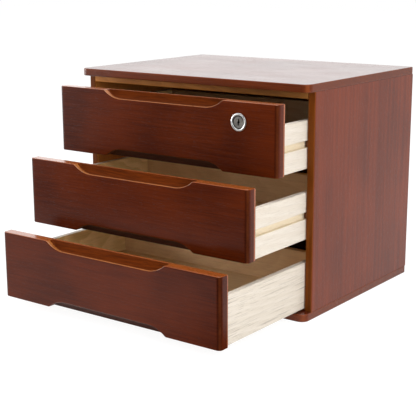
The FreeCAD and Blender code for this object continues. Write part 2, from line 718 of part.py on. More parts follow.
def drawer_back(row):
    """Drawer back between the sides, grooved for the bottom."""
    node = f"{row}_back"
    body = drawer_body(node, row)
    section = new_sketch(body, f"{node}_section", "YZ_Plane", "-places.back_half")
    outline(section, (
        ("places.box_inner_end", "sizes.box_foot"),
        ("places.box_end", "sizes.box_foot"),
        ("places.box_end", "places.box_top"),
        ("places.box_inner_end", "places.box_top"),
        ("places.box_inner_end", "places.floor_over"),
        ("places.floor_end", "places.floor_over"),
        ("places.floor_end", "places.floor_under"),
        ("places.box_inner_end", "places.floor_under"),
    ))
    pad(body, section, "2 * places.back_half")
    soften_top(body, node, "x")
    keep(body, node)


def drawer_bottom(row):
    """Thin bottom, held in the grooves of the four pieces around it."""
    keep(primitive(
        "Box", f"{row}_bottom_box",
        Length="2 * places.floor_half", Width="places.floor_end - places.floor_start",
        Height="sizes.bottom_thickness",
        Placement__Base__x="-places.floor_half",
        Placement__Base__y=f"places.{row}_face + places.floor_start",
        Placement__Base__z=f"places.{row}_row + places.floor_under"), f"{row}_bottom")


# ---------------------------------------------------------------- lock

def lock_body(node):
    """Body drawn about the lock's axis, with Y running back from the drawer's face."""
    return new_body(node, Placement__Base__x="places.lock_place",
                    Placement__Base__y="places.top_face",
                    Placement__Base__z="places.top_row + places.lock_height")


def lock_barrel():
    """Fixed barrel: face ring with a dished mouth, bore for the plug and two flats."""
    node = "lock_barrel"
    body = lock_body(node)
    profile = new_sketch(body, f"{node}_profile", "XY_Plane")
    outline(profile, (
        ("places.plug_bore", "places.plug_head_end"),
        ("places.head_bore", "places.plug_head_end"),
        ("places.head_bore", "places.plug_face"),
        ("sizes.lock_recess_radius", "-sizes.lock_flange_proud"),
        ("sizes.lock_flange_radius - sizes.lock_flange_bevel", "-sizes.lock_flange_proud"),
        ("sizes.lock_flange_radius", "sizes.lock_flange_bevel - sizes.lock_flange_proud"),
        ("sizes.lock_flange_radius", "0"),
        ("sizes.lock_body_radius", "0"),
        ("sizes.lock_body_radius", "sizes.lock_body_length"),
        ("places.plug_bore", "sizes.lock_body_length"),
    ))
    revolve(body, profile)
    flats = new_sketch(body, f"{node}_flats", "XZ_Plane")
    for hand in (LEFT, RIGHT):
        rectangle(flats, f"{hand} * sizes.lock_body_flats / 2", "-sizes.lock_flange_radius",
                  f"{hand} * sizes.lock_flange_radius", "sizes.lock_flange_radius")
    pocket(body, flats)
    keep(body, node)


def lock_nut():
    """Hexagon nut that draws the barrel into the front."""
    node = "lock_nut"
    body = lock_body(node)
    plan = new_sketch(body, f"{node}_plan", "XZ_Plane", "-sizes.front_thickness")
    half = "sizes.nut_flats / 2"
    corner = "sizes.nut_flats / sqrt(3)"
    outline(plan, (
        (corner, "0"),
        (f"{corner} / 2", half),
        (f"-{corner} / 2", half),
        (f"-{corner}", "0"),
        (f"-{corner} / 2", f"-{half}"),
        (f"{corner} / 2", f"-{half}"),
    ))
    circle(plan, "0", "0", "sizes.lock_body_radius + sizes.nut_clearance")
    pad(body, plan, "sizes.nut_thickness", reverse=True)
    keep(body, node)


def lock_plug():
    """Turning plug: headed cylinder with a key slot and a square end for the cam."""
    node = "lock_plug"
    body = lock_body(node)
    profile = new_sketch(body, f"{node}_profile", "XY_Plane")
    outline(profile, (
        ("0", "places.plug_face"),
        ("sizes.plug_head_radius", "places.plug_face"),
        ("sizes.plug_head_radius", "places.plug_head_end"),
        ("sizes.plug_radius", "places.plug_head_end"),
        ("sizes.plug_radius", "sizes.lock_body_length"),
        ("0", "sizes.lock_body_length"),
    ))
    revolve(body, profile)
    stub = new_sketch(body, f"{node}_stub", "XZ_Plane", "-sizes.lock_body_length")
    rectangle(stub, "-sizes.stub_width / 2", "-sizes.stub_width / 2",
              "sizes.stub_width / 2", "sizes.stub_width / 2")
    pad(body, stub, "places.stub_end - sizes.lock_body_length", reverse=True)
    keyway = new_sketch(body, f"{node}_keyway", "XZ_Plane", "-places.plug_face")
    rectangle(keyway, "-sizes.keyway_width / 2", "-sizes.keyway_height / 2",
              "sizes.keyway_width / 2", "sizes.keyway_height / 2")
    pocket(body, keyway, "sizes.keyway_depth")
    eye = new_sketch(body, f"{node}_keyway_eye", "XZ_Plane", "-places.plug_face")
    circle(eye, "0", "0", "sizes.keyway_eye_radius")
    pocket(body, eye, "sizes.keyway_depth")
    tapped = new_sketch(body, f"{node}_tapped_hole", "XZ_Plane", "-places.stub_end")
    circle(tapped, "0", "0", "places.cam_screw_bore")
    pocket(body, tapped, "places.stub_end - places.cam_screw_tip", reverse=True)
    keep(body, node)


def lock_cam():
    """Flat cam: round about the axis, tapering to a round-cornered tip."""
    node = "lock_cam"
    body = lock_body(node)
    plan = new_sketch(body, f"{node}_plan", "XZ_Plane", "-places.cam_front")
    hub = "sizes.cam_hub_radius"
    tip = "sizes.cam_tip_half_width"
    outline(plan, (
        ("0", f"-{hub}"),
        ("sizes.cam_reach", f"-{tip}"),
        ("sizes.cam_reach", tip),
        ("0", hub),
        (f"-{hub}", "0"),
    ), {3: (hub, 1), 4: (hub, 1)})
    hole_half = "(sizes.stub_width / 2 + sizes.stub_clearance)"
    rectangle(plan, f"-{hole_half}", f"-{hole_half}", hole_half, hole_half)
    pad(body, plan, "sizes.cam_thickness", reverse=True)
    corners = edges_where(body, lambda p: at(p.x, "sizes.cam_reach"), along="y")
    dress(body, "Fillet", corners, "sizes.cam_tip_radius", f"{node}_tip")
    keep(body, node)


def cam_washer():
    """Washer over the plug's square end."""
    node = "cam_washer"
    body = lock_body(node)
    plan = new_sketch(body, f"{node}_plan", "XZ_Plane", "-places.cam_rear")
    circle(plan, "0", "0", "sizes.washer_radius")
    circle(plan, "0", "0", "places.cam_screw_bore")
    pad(body, plan, "sizes.washer_thickness", reverse=True)
    keep(body, node)


def cam_screw():
    """Slotted screw that holds the cam on the plug."""
    node = "cam_screw"
    body = lock_body(node)
    profile = new_sketch(body, f"{node}_profile", "XY_Plane")
    outline(profile, (
        ("0", "places.cam_screw_tip"),
        ("sizes.cam_screw_radius", "places.cam_screw_tip"),
        ("sizes.cam_screw_radius", "places.washer_rear"),
        ("sizes.cam_screw_head_radius", "places.washer_rear"),
        ("sizes.cam_screw_head_radius", "places.cam_screw_end"),
        ("0", "places.cam_screw_end"),
    ))
    revolve(body, profile)
    slot = new_sketch(body, f"{node}_slot", "XZ_Plane", "-places.cam_screw_end")
    rectangle(slot, "-sizes.cam_screw_slot_width / 2", "-sizes.cam_screw_head_radius",
              "sizes.cam_screw_slot_width / 2", "sizes.cam_screw_head_radius")
    pocket(body, slot, "sizes.cam_screw_slot_depth", reverse=True)
    keep(body, node)


# ---------------------------------------------------------------- build, check, write

def check_document():
    """Stop if any object failed or any sub-part has no sound shape."""
    for thing in doc.Objects:
        if "Invalid" in thing.State or "Error" in thing.State:
            raise RuntimeError(f"{thing.Name} failed: {thing.State}")
    for piece in sub_parts:
        if piece.Shape.isNull() or not piece.Shape.isValid():
            raise RuntimeError(f"{piece.Label} has no sound shape")


def write_parts():
    """One STEP file for each sub-part, named after its label."""
    os.makedirs(PARTS_FOLDER, exist_ok=True)
    for piece in sub_parts:
        piece.Shape.exportStep(os.path.join(PARTS_FOLDER, f"{piece.Label}.step"))


fill_sheets()
carcass()
for drawer in DRAWERS:
    drawer_front(drawer)
    for side_name, side_hand in HANDS:
        drawer_side(drawer, side_name, side_hand)
    drawer_back(drawer)
    drawer_bottom(drawer)
lock_barrel()
lock_nut()
lock_plug()
lock_cam()
cam_washer()
cam_screw()
doc.recompute()
check_document()
write_parts()
print(len(sub_parts), "sub-parts written")
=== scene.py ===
import math

import bmesh
import bpy
from mathutils import Matrix, Vector


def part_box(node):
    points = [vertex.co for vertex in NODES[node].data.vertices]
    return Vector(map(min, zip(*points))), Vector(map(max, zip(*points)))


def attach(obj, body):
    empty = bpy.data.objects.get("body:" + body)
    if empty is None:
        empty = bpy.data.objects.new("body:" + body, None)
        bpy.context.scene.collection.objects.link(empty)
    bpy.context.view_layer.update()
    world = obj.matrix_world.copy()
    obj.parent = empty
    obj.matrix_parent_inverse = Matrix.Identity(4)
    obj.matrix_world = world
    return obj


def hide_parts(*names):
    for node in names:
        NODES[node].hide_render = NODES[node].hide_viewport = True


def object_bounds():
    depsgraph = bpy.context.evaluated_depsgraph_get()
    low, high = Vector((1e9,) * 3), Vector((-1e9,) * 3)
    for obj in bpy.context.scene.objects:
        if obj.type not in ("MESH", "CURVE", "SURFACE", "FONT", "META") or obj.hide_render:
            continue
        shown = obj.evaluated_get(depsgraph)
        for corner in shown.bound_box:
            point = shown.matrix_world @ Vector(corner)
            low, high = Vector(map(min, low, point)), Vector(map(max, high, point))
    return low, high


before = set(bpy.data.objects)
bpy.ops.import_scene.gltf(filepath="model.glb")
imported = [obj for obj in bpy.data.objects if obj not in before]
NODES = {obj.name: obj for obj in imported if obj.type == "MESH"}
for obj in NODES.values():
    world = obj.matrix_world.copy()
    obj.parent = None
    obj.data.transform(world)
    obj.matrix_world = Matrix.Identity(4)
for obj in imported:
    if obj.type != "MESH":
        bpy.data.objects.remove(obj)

cad_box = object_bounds()

ROWS = ("top", "middle", "bottom")
HANDS = ("left", "right")
ORIGIN = (0.0, 0.0, 0.0)


# ---------------------------------------------------------------- shader building

def put(tree, kind, inputs=None, **settings):
    """Add a shader node. An input given as a socket is linked, any other value is set."""
    node = tree.nodes.new(f"ShaderNode{kind}")
    for name, value in settings.items():
        setattr(node, name, value)
    for name, value in (inputs or {}).items():
        if isinstance(value, bpy.types.NodeSocket):
            tree.links.new(value, node.inputs[name])
        else:
            node.inputs[name].default_value = value
    return node


def empty_tree(owner):
    """Emptied node tree of a material or a world."""
    owner.use_nodes = True
    owner.node_tree.nodes.clear()
    return owner.node_tree


def calc(tree, operation, *values, clamp=False):
    """Math node on sockets or plain numbers."""
    node = put(tree, "Math", dict(enumerate(values)), operation=operation, use_clamp=clamp)
    return node.outputs[0]


def vector_calc(tree, operation, *values):
    """Vector math node on sockets or plain vectors."""
    return put(tree, "VectorMath", dict(enumerate(values)), operation=operation).outputs[0]


def vector_measure(tree, operation, *values):
    """Vector math node whose result is one number, such as a length."""
    return put(tree, "VectorMath", dict(enumerate(values)), operation=operation).outputs["Value"]


def fade(tree, value, low, high, to_low=0.0, to_high=1.0):
    """Smooth step of a value from one range to another."""
    ranged = put(tree, "MapRange", {"Value": value, "From Min": low, "From Max": high,
                                    "To Min": to_low, "To Max": to_high},
                 interpolation_type="SMOOTHSTEP")
    return ranged.outputs["Result"]


def blend_colours(tree, share, first, second):
    """Mix two colours."""
    return put(tree, "Mix", {0: share, 6: first, 7: second}, data_type="RGBA").outputs[2]


def noise(tree, place, scale, detail, roughness=0.55):
    """Fractal noise value, about 0 to 1."""
    return put(tree, "TexNoise", {"Vector": place, "Scale": scale, "Detail": detail,
                                  "Roughness": roughness}).outputs[0]


def stretched_noise(tree, place, stretch, detail, roughness=0.55):
    """Fractal noise packed differently along each axis."""
    return noise(tree, vector_calc(tree, "MULTIPLY", place, stretch), 1.0, detail, roughness)


def new_group(name, inputs, outputs):
    """Empty node group with named sockets; gives the tree, its inputs and its outputs."""
    tree = bpy.data.node_groups.new(name, "ShaderNodeTree")
    for label, (kind, value) in inputs.items():
        socket = tree.interface.new_socket(label, in_out="INPUT", socket_type=f"NodeSocket{kind}")
        if value is not None:
            socket.default_value = value
    for label in outputs:
        tree.interface.new_socket(label, in_out="OUTPUT", socket_type="NodeSocketFloat")
    given = tree.nodes.new("NodeGroupInput").outputs
    made = tree.nodes.new("NodeGroupOutput").inputs
    return tree, given, made


def use_group(tree, group, **inputs):
    """Place a node group; its inputs are named with underscores for spaces."""
    named = {name.replace("_", " "): value for name, value in inputs.items()}
    return put(tree, "Group", named, node_tree=group).outputs


# ---------------------------------------------------------------- shared effects

# How closely each feature is packed, per metre. A triple gives it along the grain and twice
# across it, or for the smears along the piece's own axes.
SWAY_STRETCH = (3.0, 9.0, 9.0)
FIBRE_STRETCH = (22.0, 1500.0, 1500.0)
PORE_STRETCH = (110.0, 2600.0, 2600.0)
DASH_STRETCH = (11.0, 1400.0, 1400.0)
WOBBLE_STRETCH = (14.0, 30.0, 30.0)
SMEAR_STRETCH = (9.0, 16.0, 12.0)
CLOUD_SCALE = 7.0
RUBBING_SCALE = 60.0
STREAK_SCALE = 2.3
GRIME_SCALE = 420.0


def make_board_grain():
    """Grain along X: broad stripes, fine fibre, short pores, long dashes and slow clouds."""
    tree, given, made = new_group(
        "board grain",
        {"Place": ("Vector", None), "Stripe Width": ("Float", 0.004),
         "Stripe Length": ("Float", 0.25), "Wander": ("Float", 0.004)},
        ("Stripe", "Fibre", "Pores", "Dashes", "Clouds"))
    place = given["Place"]
    sway = calc(tree, "SUBTRACT", stretched_noise(tree, place, SWAY_STRETCH, 2.0), 0.5)
    shift = calc(tree, "MULTIPLY", calc(tree, "MULTIPLY", sway, given["Wander"]), 4.0)
    sideways = put(tree, "CombineXYZ", {"Y": shift, "Z": shift}).outputs[0]
    wandered = vector_calc(tree, "ADD", place, sideways)

    across = calc(tree, "DIVIDE", 1.0, given["Stripe Width"])
    along = calc(tree, "DIVIDE", 1.0, given["Stripe Length"])
    stretch = put(tree, "CombineXYZ", {"X": along, "Y": across, "Z": across}).outputs[0]
    stripes = stretched_noise(tree, wandered, stretch, 4.0, 0.6)
    fibre = stretched_noise(tree, wandered, FIBRE_STRETCH, 3.0, 0.6)
    specks = stretched_noise(tree, wandered, PORE_STRETCH, 1.0)
    checks = stretched_noise(tree, wandered, DASH_STRETCH, 2.0, 0.5)
    tree.links.new(fade(tree, stripes, 0.3, 0.7), made["Stripe"])
    tree.links.new(fibre, made["Fibre"])
    tree.links.new(fade(tree, specks, 0.62, 0.74), made["Pores"])
    tree.links.new(fade(tree, checks, 0.6, 0.68), made["Dashes"])
    tree.links.new(fade(tree, noise(tree, place, CLOUD_SCALE, 2.0), 0.35, 0.65), made["Clouds"])
    return tree


def make_growth_rings():
    """Arched rings of a flat-sawn board, whose heart line runs along X."""
    tree, given, made = new_group(
        "growth rings",
        {"Place": ("Vector", None), "Heart": ("Vector", ORIGIN), "Spacing": ("Float", 0.006),
         "Taper": ("Float", 0.12), "Wobble": ("Float", 0.016)},
        ("Rings",))
    offset = vector_calc(tree, "SUBTRACT", given["Place"], given["Heart"])
    parts = put(tree, "SeparateXYZ", {"Vector": offset}).outputs
    flat = put(tree, "CombineXYZ", {"Y": parts["Y"], "Z": parts["Z"]}).outputs[0]
    radius = vector_measure(tree, "LENGTH", flat)
    radius = calc(tree, "ADD", radius, calc(tree, "MULTIPLY", parts["X"], given["Taper"]))
    wobble = stretched_noise(tree, given["Place"], WOBBLE_STRETCH, 2.0)
    radius = calc(tree, "ADD", radius, calc(tree, "MULTIPLY", wobble, given["Wobble"]))
    turns = calc(tree, "FRACT", calc(tree, "DIVIDE", radius, given["Spacing"]))
    early = fade(tree, turns, 0.0, 0.78)
    late = fade(tree, turns, 0.86, 1.0, 1.0, 0.0)
    tree.links.new(calc(tree, "MULTIPLY", early, late), made["Rings"])
    return tree


def make_piece_edges():
    """Masks of a square piece's rounded places: every arris, and the upright ones alone."""
    tree, given, made = new_group("piece edges", {"Place": ("Vector", None)}, ("Arris", "Upright"))
    facing = put(tree, "TexCoord").outputs["Normal"]
    parts = put(tree, "SeparateXYZ", {"Vector": facing}).outputs
    sizes = [calc(tree, "ABSOLUTE", parts[axis]) for axis in "XYZ"]
    widest = calc(tree, "MAXIMUM", calc(tree, "MAXIMUM", sizes[0], sizes[1]), sizes[2])
    rounded = fade(tree, widest, 0.93, 0.78)
    rubbed = fade(tree, noise(tree, given["Place"], RUBBING_SCALE, 3.0), 0.3, 0.62)
    uneven = calc(tree, "MULTIPLY_ADD", rubbed, 0.5, 0.5)
    tree.links.new(calc(tree, "MULTIPLY", rounded, uneven), made["Arris"])
    turning = calc(tree, "MULTIPLY", fade(tree, sizes[0], 0.1, 0.35),
                   fade(tree, sizes[0], 0.99, 0.85))
    upright = calc(tree, "MULTIPLY", turning, fade(tree, sizes[2], 0.45, 0.15))
    tree.links.new(upright, made["Upright"])
    return tree


def make_handled_gloss():
    """Slow changes of gloss, left by hands and cloths."""
    tree, given, made = new_group(
        "handled gloss",
        {"Place": ("Vector", None), "Gloss": ("Float", 0.3), "Spread": ("Float", 0.1)},
        ("Roughness",))
    smears = stretched_noise(tree, given["Place"], SMEAR_STRETCH, 4.0, 0.6)
    swing = calc(tree, "MULTIPLY", calc(tree, "SUBTRACT", smears, 0.5), given["Spread"])
    roughness = calc(tree, "ADD", given["Gloss"], calc(tree, "MULTIPLY", swing, 2.0))
    tree.links.new(roughness, made["Roughness"])
    return tree


def make_turned_metal():
    """Lathe rings, polishing streaks and grime about an axis along Y through a centre."""
    tree, given, made = new_group(
        "turned metal",
        {"Place": ("Vector", None), "Centre": ("Vector", ORIGIN), "Pitch": ("Float", 0.0004)},
        ("Rings", "Streaks", "Grime"))
    offset = vector_calc(tree, "SUBTRACT", given["Place"], given["Centre"])
    parts = put(tree, "SeparateXYZ", {"Vector": offset}).outputs
    flat = put(tree, "CombineXYZ", {"X": parts["X"], "Y": parts["Z"]}).outputs[0]
    turns = calc(tree, "DIVIDE", vector_measure(tree, "LENGTH", flat), given["Pitch"])
    swing = calc(tree, "SINE", calc(tree, "MULTIPLY", turns, math.tau))
    streak = noise(tree, put(tree, "CombineXYZ", {"X": turns}).outputs[0], STREAK_SCALE, 2.0)
    tree.links.new(calc(tree, "MULTIPLY_ADD", swing, 0.5, 0.5), made["Rings"])
    tree.links.new(streak, made["Streaks"])
    tree.links.new(fade(tree, noise(tree, offset, GRIME_SCALE, 3.0), 0.5, 0.72), made["Grime"])
    return tree


BOARD_GRAIN = make_board_grain()
GROWTH_RINGS = make_growth_rings()
PIECE_EDGES = make_piece_edges()
HANDLED_GLOSS = make_handled_gloss()
TURNED_METAL = make_turned_metal()


# ---------------------------------------------------------------- materials

GRAIN_ORDER = {"x": "XYZ", "y": "YXZ", "z": "ZXY"}
LACQUER_ROUGHNESS = 0.12
# Reliefs, the pitch of lathe rings and the run over which painted shade darkens a board, in metres.
STAINED_RELIEF = 0.00004
PLANED_RELIEF = 0.00008
LATHE_PITCH = 0.0004
LATHE_RELIEF = 0.00002
SHADE_RUN = 0.15


def colour(red, green, blue):
    """Linear colour with full alpha."""
    return (red, green, blue, 1.0)


def shade(tint, share):
    """A share of a colour, still with full alpha."""
    return tuple(share * part for part in tint[:3]) + (1.0,)


def start_material(name):
    """Empty material; gives it with its tree and its main shader."""
    material = bpy.data.materials.new(name)
    tree = empty_tree(material)
    shader = put(tree, "BsdfPrincipled")
    put(tree, "OutputMaterial", {"Surface": shader.outputs[0]})
    return material, tree, shader


def grain_place(tree, along, shift):
    """The piece's own coordinates, and the same turned so that the grain runs along X."""
    own = put(tree, "TexCoord").outputs["Object"]
    parts = put(tree, "SeparateXYZ", {"Vector": own}).outputs
    turned = {axis: parts[source] for axis, source in zip("XYZ", GRAIN_ORDER[along])}
    return own, vector_calc(tree, "ADD", put(tree, "CombineXYZ", turned).outputs[0], shift)


def set_bump(tree, shader, height, relief):
    """Raise the surface by a height times a relief in metres."""
    bump = put(tree, "Bump", {"Height": height, "Distance": relief, "Strength": 1.0})
    tree.links.new(bump.outputs["Normal"], shader.inputs["Normal"])


def stained_wood(name, along, shift, deep, warm, specular, gloss, coat, edge=None, edge_share=1.0,
                 stripe_width=0.004, stripe_length=0.25, wander=0.004, stripe_share=0.55,
                 upright_shade_share=0.0):
    """Stained and lacquered wood, its stain thin on the arrises where an edge colour is given, with
    painted shade on its upright roundings.
    """
    material, tree, shader = start_material(name)
    own, place = grain_place(tree, along, shift)
    grain = use_group(tree, BOARD_GRAIN, Place=place, Stripe_Width=stripe_width,
                      Stripe_Length=stripe_length, Wander=wander)
    finish = use_group(tree, HANDLED_GLOSS, Place=own, Gloss=gloss, Spread=0.07)

    tone = calc(tree, "MULTIPLY", grain["Clouds"], 0.85 - stripe_share)
    tone = calc(tree, "MULTIPLY_ADD", grain["Stripe"], stripe_share, tone)
    tone = calc(tree, "MULTIPLY_ADD", grain["Fibre"], 0.35, tone, clamp=True)
    stain = blend_colours(tree, tone, deep, warm)
    if edge is not None:
        edges = use_group(tree, PIECE_EDGES, Place=own)
        # Painted shade: a darker band on the upright roundings, where the face turns toward the
        # end.
        upright_shading = calc(tree, "MULTIPLY", edges["Upright"], upright_shade_share)
        stain = blend_colours(tree, upright_shading, stain, shade(deep, 0.4))
        spared = calc(tree, "SUBTRACT", 1.0, calc(tree, "MULTIPLY", upright_shading, 1.4), clamp=True)
        worn = calc(tree, "MULTIPLY", calc(tree, "MULTIPLY", edges["Arris"], edge_share), spared)
        thin_stain = blend_colours(tree, grain["Fibre"], shade(edge, 0.72), edge)
        stain = blend_colours(tree, worn, stain, thin_stain)
    pores = calc(tree, "MULTIPLY", grain["Pores"], 0.45)
    stain = blend_colours(tree, pores, stain, shade(deep, 0.35))
    tree.links.new(stain, shader.inputs["Base Color"])
    tree.links.new(calc(tree, "MULTIPLY_ADD", grain["Pores"], 0.2, finish["Roughness"]),
                   shader.inputs["Roughness"])
    shader.inputs["Specular IOR Level"].default_value = specular
    shader.inputs["Coat Weight"].default_value = coat
    shader.inputs["Coat Roughness"].default_value = LACQUER_ROUGHNESS
    fibre = calc(tree, "MULTIPLY", grain["Fibre"], 0.3)
    height = calc(tree, "MULTIPLY_ADD", grain["Pores"], -0.6, fibre)
    set_bump(tree, shader, height, STAINED_RELIEF)
    return material


def pale_wood(name, along, shift, light, straw, line, heart, ring_share=0.5, spacing=0.006,
              wobble=0.016, stripe_width=0.003, dash_share=0.0, specular=0.3, shaded_from=None):
    """Planed wood with growth rings and thin darker lines, and painted shade rightward of a given
    x.
    """
    material, tree, shader = start_material(name)
    own, place = grain_place(tree, along, shift)
    grain = use_group(tree, BOARD_GRAIN, Place=place, Stripe_Width=stripe_width, Stripe_Length=0.16)
    rings = use_group(tree, GROWTH_RINGS, Place=place, Heart=heart, Spacing=spacing, Wobble=wobble)
    finish = use_group(tree, HANDLED_GLOSS, Place=own, Gloss=0.5, Spread=0.1)
    edges = use_group(tree, PIECE_EDGES, Place=own)

    tone = calc(tree, "MULTIPLY", rings["Rings"], ring_share)
    tone = calc(tree, "MULTIPLY_ADD", grain["Stripe"], 0.3, tone)
    tone = calc(tree, "MULTIPLY_ADD", grain["Clouds"], 0.15, tone, clamp=True)
    wood = blend_colours(tree, tone, light, straw)
    streak = calc(tree, "MULTIPLY", fade(tree, grain["Fibre"], 0.56, 0.74), 0.5)
    streak = calc(tree, "MAXIMUM", streak, calc(tree, "MULTIPLY", grain["Pores"], 0.4))
    wood = blend_colours(tree, streak, wood, line)
    dashes = calc(tree, "MULTIPLY", grain["Dashes"], dash_share)
    wood = blend_colours(tree, dashes, wood, shade(line, 0.5))
    if shaded_from is not None:
        across = put(tree, "SeparateXYZ", {"Vector": own}).outputs["X"]
        # Painted shade: the wood darkens toward its line colour rightward of the given x.
        handled = fade(tree, across, shaded_from, shaded_from + SHADE_RUN, 0.0, 0.7)
        wood = blend_colours(tree, handled, wood, line)
    wood = blend_colours(tree, calc(tree, "MULTIPLY", edges["Arris"], 0.18), wood, line)
    tree.links.new(wood, shader.inputs["Base Color"])
    tree.links.new(finish["Roughness"], shader.inputs["Roughness"])
    shader.inputs["Specular IOR Level"].default_value = specular
    fibre = calc(tree, "MULTIPLY", grain["Fibre"], 0.5)
    height = calc(tree, "MULTIPLY_ADD", grain["Pores"], -0.5, fibre)
    set_bump(tree, shader, height, PLANED_RELIEF)
    return material


def metal(name, bright, dark, centre, roughness):
    """Plated metal with lathe rings, streaks and a little grime."""
    material, tree, shader = start_material(name)
    own = put(tree, "TexCoord").outputs["Object"]
    turned = use_group(tree, TURNED_METAL, Place=own, Centre=centre, Pitch=LATHE_PITCH)
    finish = use_group(tree, HANDLED_GLOSS, Place=own, Gloss=roughness, Spread=0.12)
    streaks = calc(tree, "MULTIPLY", turned["Streaks"], 0.3)
    tone = calc(tree, "MULTIPLY_ADD", turned["Grime"], 0.5, streaks)
    tree.links.new(blend_colours(tree, tone, bright, dark), shader.inputs["Base Color"])
    tree.links.new(calc(tree, "MULTIPLY_ADD", turned["Grime"], 0.2, finish["Roughness"]),
                   shader.inputs["Roughness"])
    shader.inputs["Metallic"].default_value = 1.0
    set_bump(tree, shader, turned["Rings"], LATHE_RELIEF)
    return material


LOCK_CENTRE = sum(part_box("lock_barrel"), Vector()) / 2

BOARD_WOOD = stained_wood(
    "case_board_stain", "x", ORIGIN, deep=colour(0.045, 0.0075, 0.003),
    warm=colour(0.12, 0.02, 0.005), edge=colour(0.2, 0.045, 0.01),
    specular=0.34, gloss=0.24, coat=0.15, stripe_width=0.006, wander=0.002)
BOARD_EDGE_WOOD = stained_wood(
    "case_board_edge_stain", "x", ORIGIN, deep=colour(0.07, 0.0125, 0.003),
    warm=colour(0.16, 0.03, 0.006), edge=colour(0.21, 0.045, 0.009),
    specular=0.18, gloss=0.26, coat=0.08, stripe_width=0.0016, stripe_length=0.08, wander=0.001)
PANEL_WOOD = stained_wood(
    "case_panel_stain", "z", (0.2, 0.1, 0.0), deep=colour(0.068, 0.0105, 0.003),
    warm=colour(0.18, 0.029, 0.0065), edge=colour(0.22, 0.055, 0.009),
    specular=0.18, gloss=0.24, coat=0.08, stripe_width=0.0045, stripe_length=0.9)
PANEL_EDGE_WOOD = stained_wood(
    "panel_edge_stain", "z", (0.2, 0.1, 0.3), deep=colour(0.08, 0.019, 0.0028),
    warm=colour(0.165, 0.042, 0.005), edge=colour(0.26, 0.08, 0.012), edge_share=0.4,
    specular=0.05, gloss=0.3, coat=0.03, stripe_width=0.002, stripe_length=0.5)
PANEL_INNER_WOOD = pale_wood(
    "panel_inner_wood", "z", (0.2, 0.1, 0.6), light=colour(0.48, 0.185, 0.045),
    straw=colour(0.35, 0.12, 0.025), line=colour(0.16, 0.06, 0.015), heart=(0.0, 0.3, 0.2),
    ring_share=0.1, stripe_width=0.0025, specular=0.1)

FRONT_WOOD = stained_wood(
    "drawer_front_stain", "x", (0.35, 0.0, 0.0), deep=colour(0.027, 0.0035, 0.0009),
    warm=colour(0.1, 0.0142, 0.0014), edge=colour(0.30, 0.075, 0.014), edge_share=0.55,
    specular=0.12, gloss=0.22, coat=0.08, stripe_width=0.0018, stripe_length=0.06, wander=0.0012,
    stripe_share=0.38, upright_shade_share=0.5)
FRONT_EDGE_WOOD = stained_wood(
    "drawer_edge_stain", "x", (0.35, 0.0, 0.0), deep=colour(0.2, 0.045, 0.008),
    warm=colour(0.33, 0.082, 0.014), edge=colour(0.42, 0.12, 0.03),
    specular=0.4, gloss=0.25, coat=0.4, stripe_width=0.0022, stripe_length=0.12)
SCOOP_WOOD = stained_wood(
    "scoop_stain", "x", (0.35, 0.0, 0.0), deep=colour(0.03, 0.0055, 0.001),
    warm=colour(0.107, 0.0195, 0.002),
    specular=0.015, gloss=0.3, coat=0.0, stripe_width=0.0016, stripe_length=0.03)
# Painted highlight: a lighter colour for the scoop's rim and its left crest.
SCOOP_RIM_HIGHLIGHT_WOOD = stained_wood(
    "scoop_rim_painted_highlight", "x", (0.35, 0.0, 0.0), deep=colour(0.14, 0.04, 0.007),
    warm=colour(0.29, 0.092, 0.018), edge=colour(0.36, 0.125, 0.032),
    specular=0.25, gloss=0.25, coat=0.1, stripe_width=0.0016, stripe_length=0.03)
# Painted shade: the lower scoop's downward slope, coloured darker than the face.
UNDERCUT_SHADE_WOOD = stained_wood(
    "lower_scoop_painted_shade", "x", (0.35, 0.0, 0.0), deep=colour(0.024, 0.007, 0.0045),
    warm=colour(0.055, 0.015, 0.008),
    specular=0.04, gloss=0.5, coat=0.0, stripe_width=0.0016, stripe_length=0.03)

RAIL_WOOD = pale_wood(
    "rail_wood", "x", (0.6, 0.0, 0.0), light=colour(0.6, 0.25, 0.06),
    straw=colour(0.42, 0.15, 0.03), line=colour(0.18, 0.07, 0.015), heart=(0.0, 0.3, 0.2),
    specular=0.1, shaded_from=-0.02)
BOX_WOOD = pale_wood(
    "box_side_wood", "y", ORIGIN, light=colour(0.7, 0.645, 0.565),
    straw=colour(0.6, 0.52, 0.42), line=colour(0.34, 0.27, 0.2), heart=(0.0, 0.3, -0.5),
    ring_share=0.25, spacing=0.011, wobble=0.003, stripe_width=0.0015, dash_share=0.12)
STREAKED_BOX_WOOD = pale_wood(
    "streaked_box_wood", "y", (0.7, 0.2, 0.1), light=colour(0.68, 0.62, 0.54),
    straw=colour(0.57, 0.5, 0.4), line=colour(0.3, 0.23, 0.17), heart=(0.0, 0.35, -0.5),
    ring_share=0.3, spacing=0.009, wobble=0.003, stripe_width=0.0015, dash_share=0.65)
# Painted shade: the runner grooves, the same wood as the sides, coloured yellower for the warm
# shade in the recess.
GROOVE_SHADE_WOOD = pale_wood(
    "runner_groove_painted_shade", "y", (0.1, 0.0, 0.2), light=colour(0.77, 0.67, 0.5),
    straw=colour(0.66, 0.54, 0.37), line=colour(0.34, 0.25, 0.16), heart=(0.0, 0.3, -0.5),
    ring_share=0.2)
# Painted light and shade: the sides' inner faces, the same wood as their outer faces, coloured a
# warmer tan for the warm bounce light and shade inside the drawers.
BOX_INNER_SHADE_WOOD = pale_wood(
    "box_inner_painted_shade", "y", (0.3, 0.0, 0.0), light=colour(0.94, 0.69, 0.35),
    straw=colour(0.68, 0.46, 0.2), line=colour(0.4, 0.25, 0.13), heart=(0.0, 0.12, 0.08),
    ring_share=0.6)
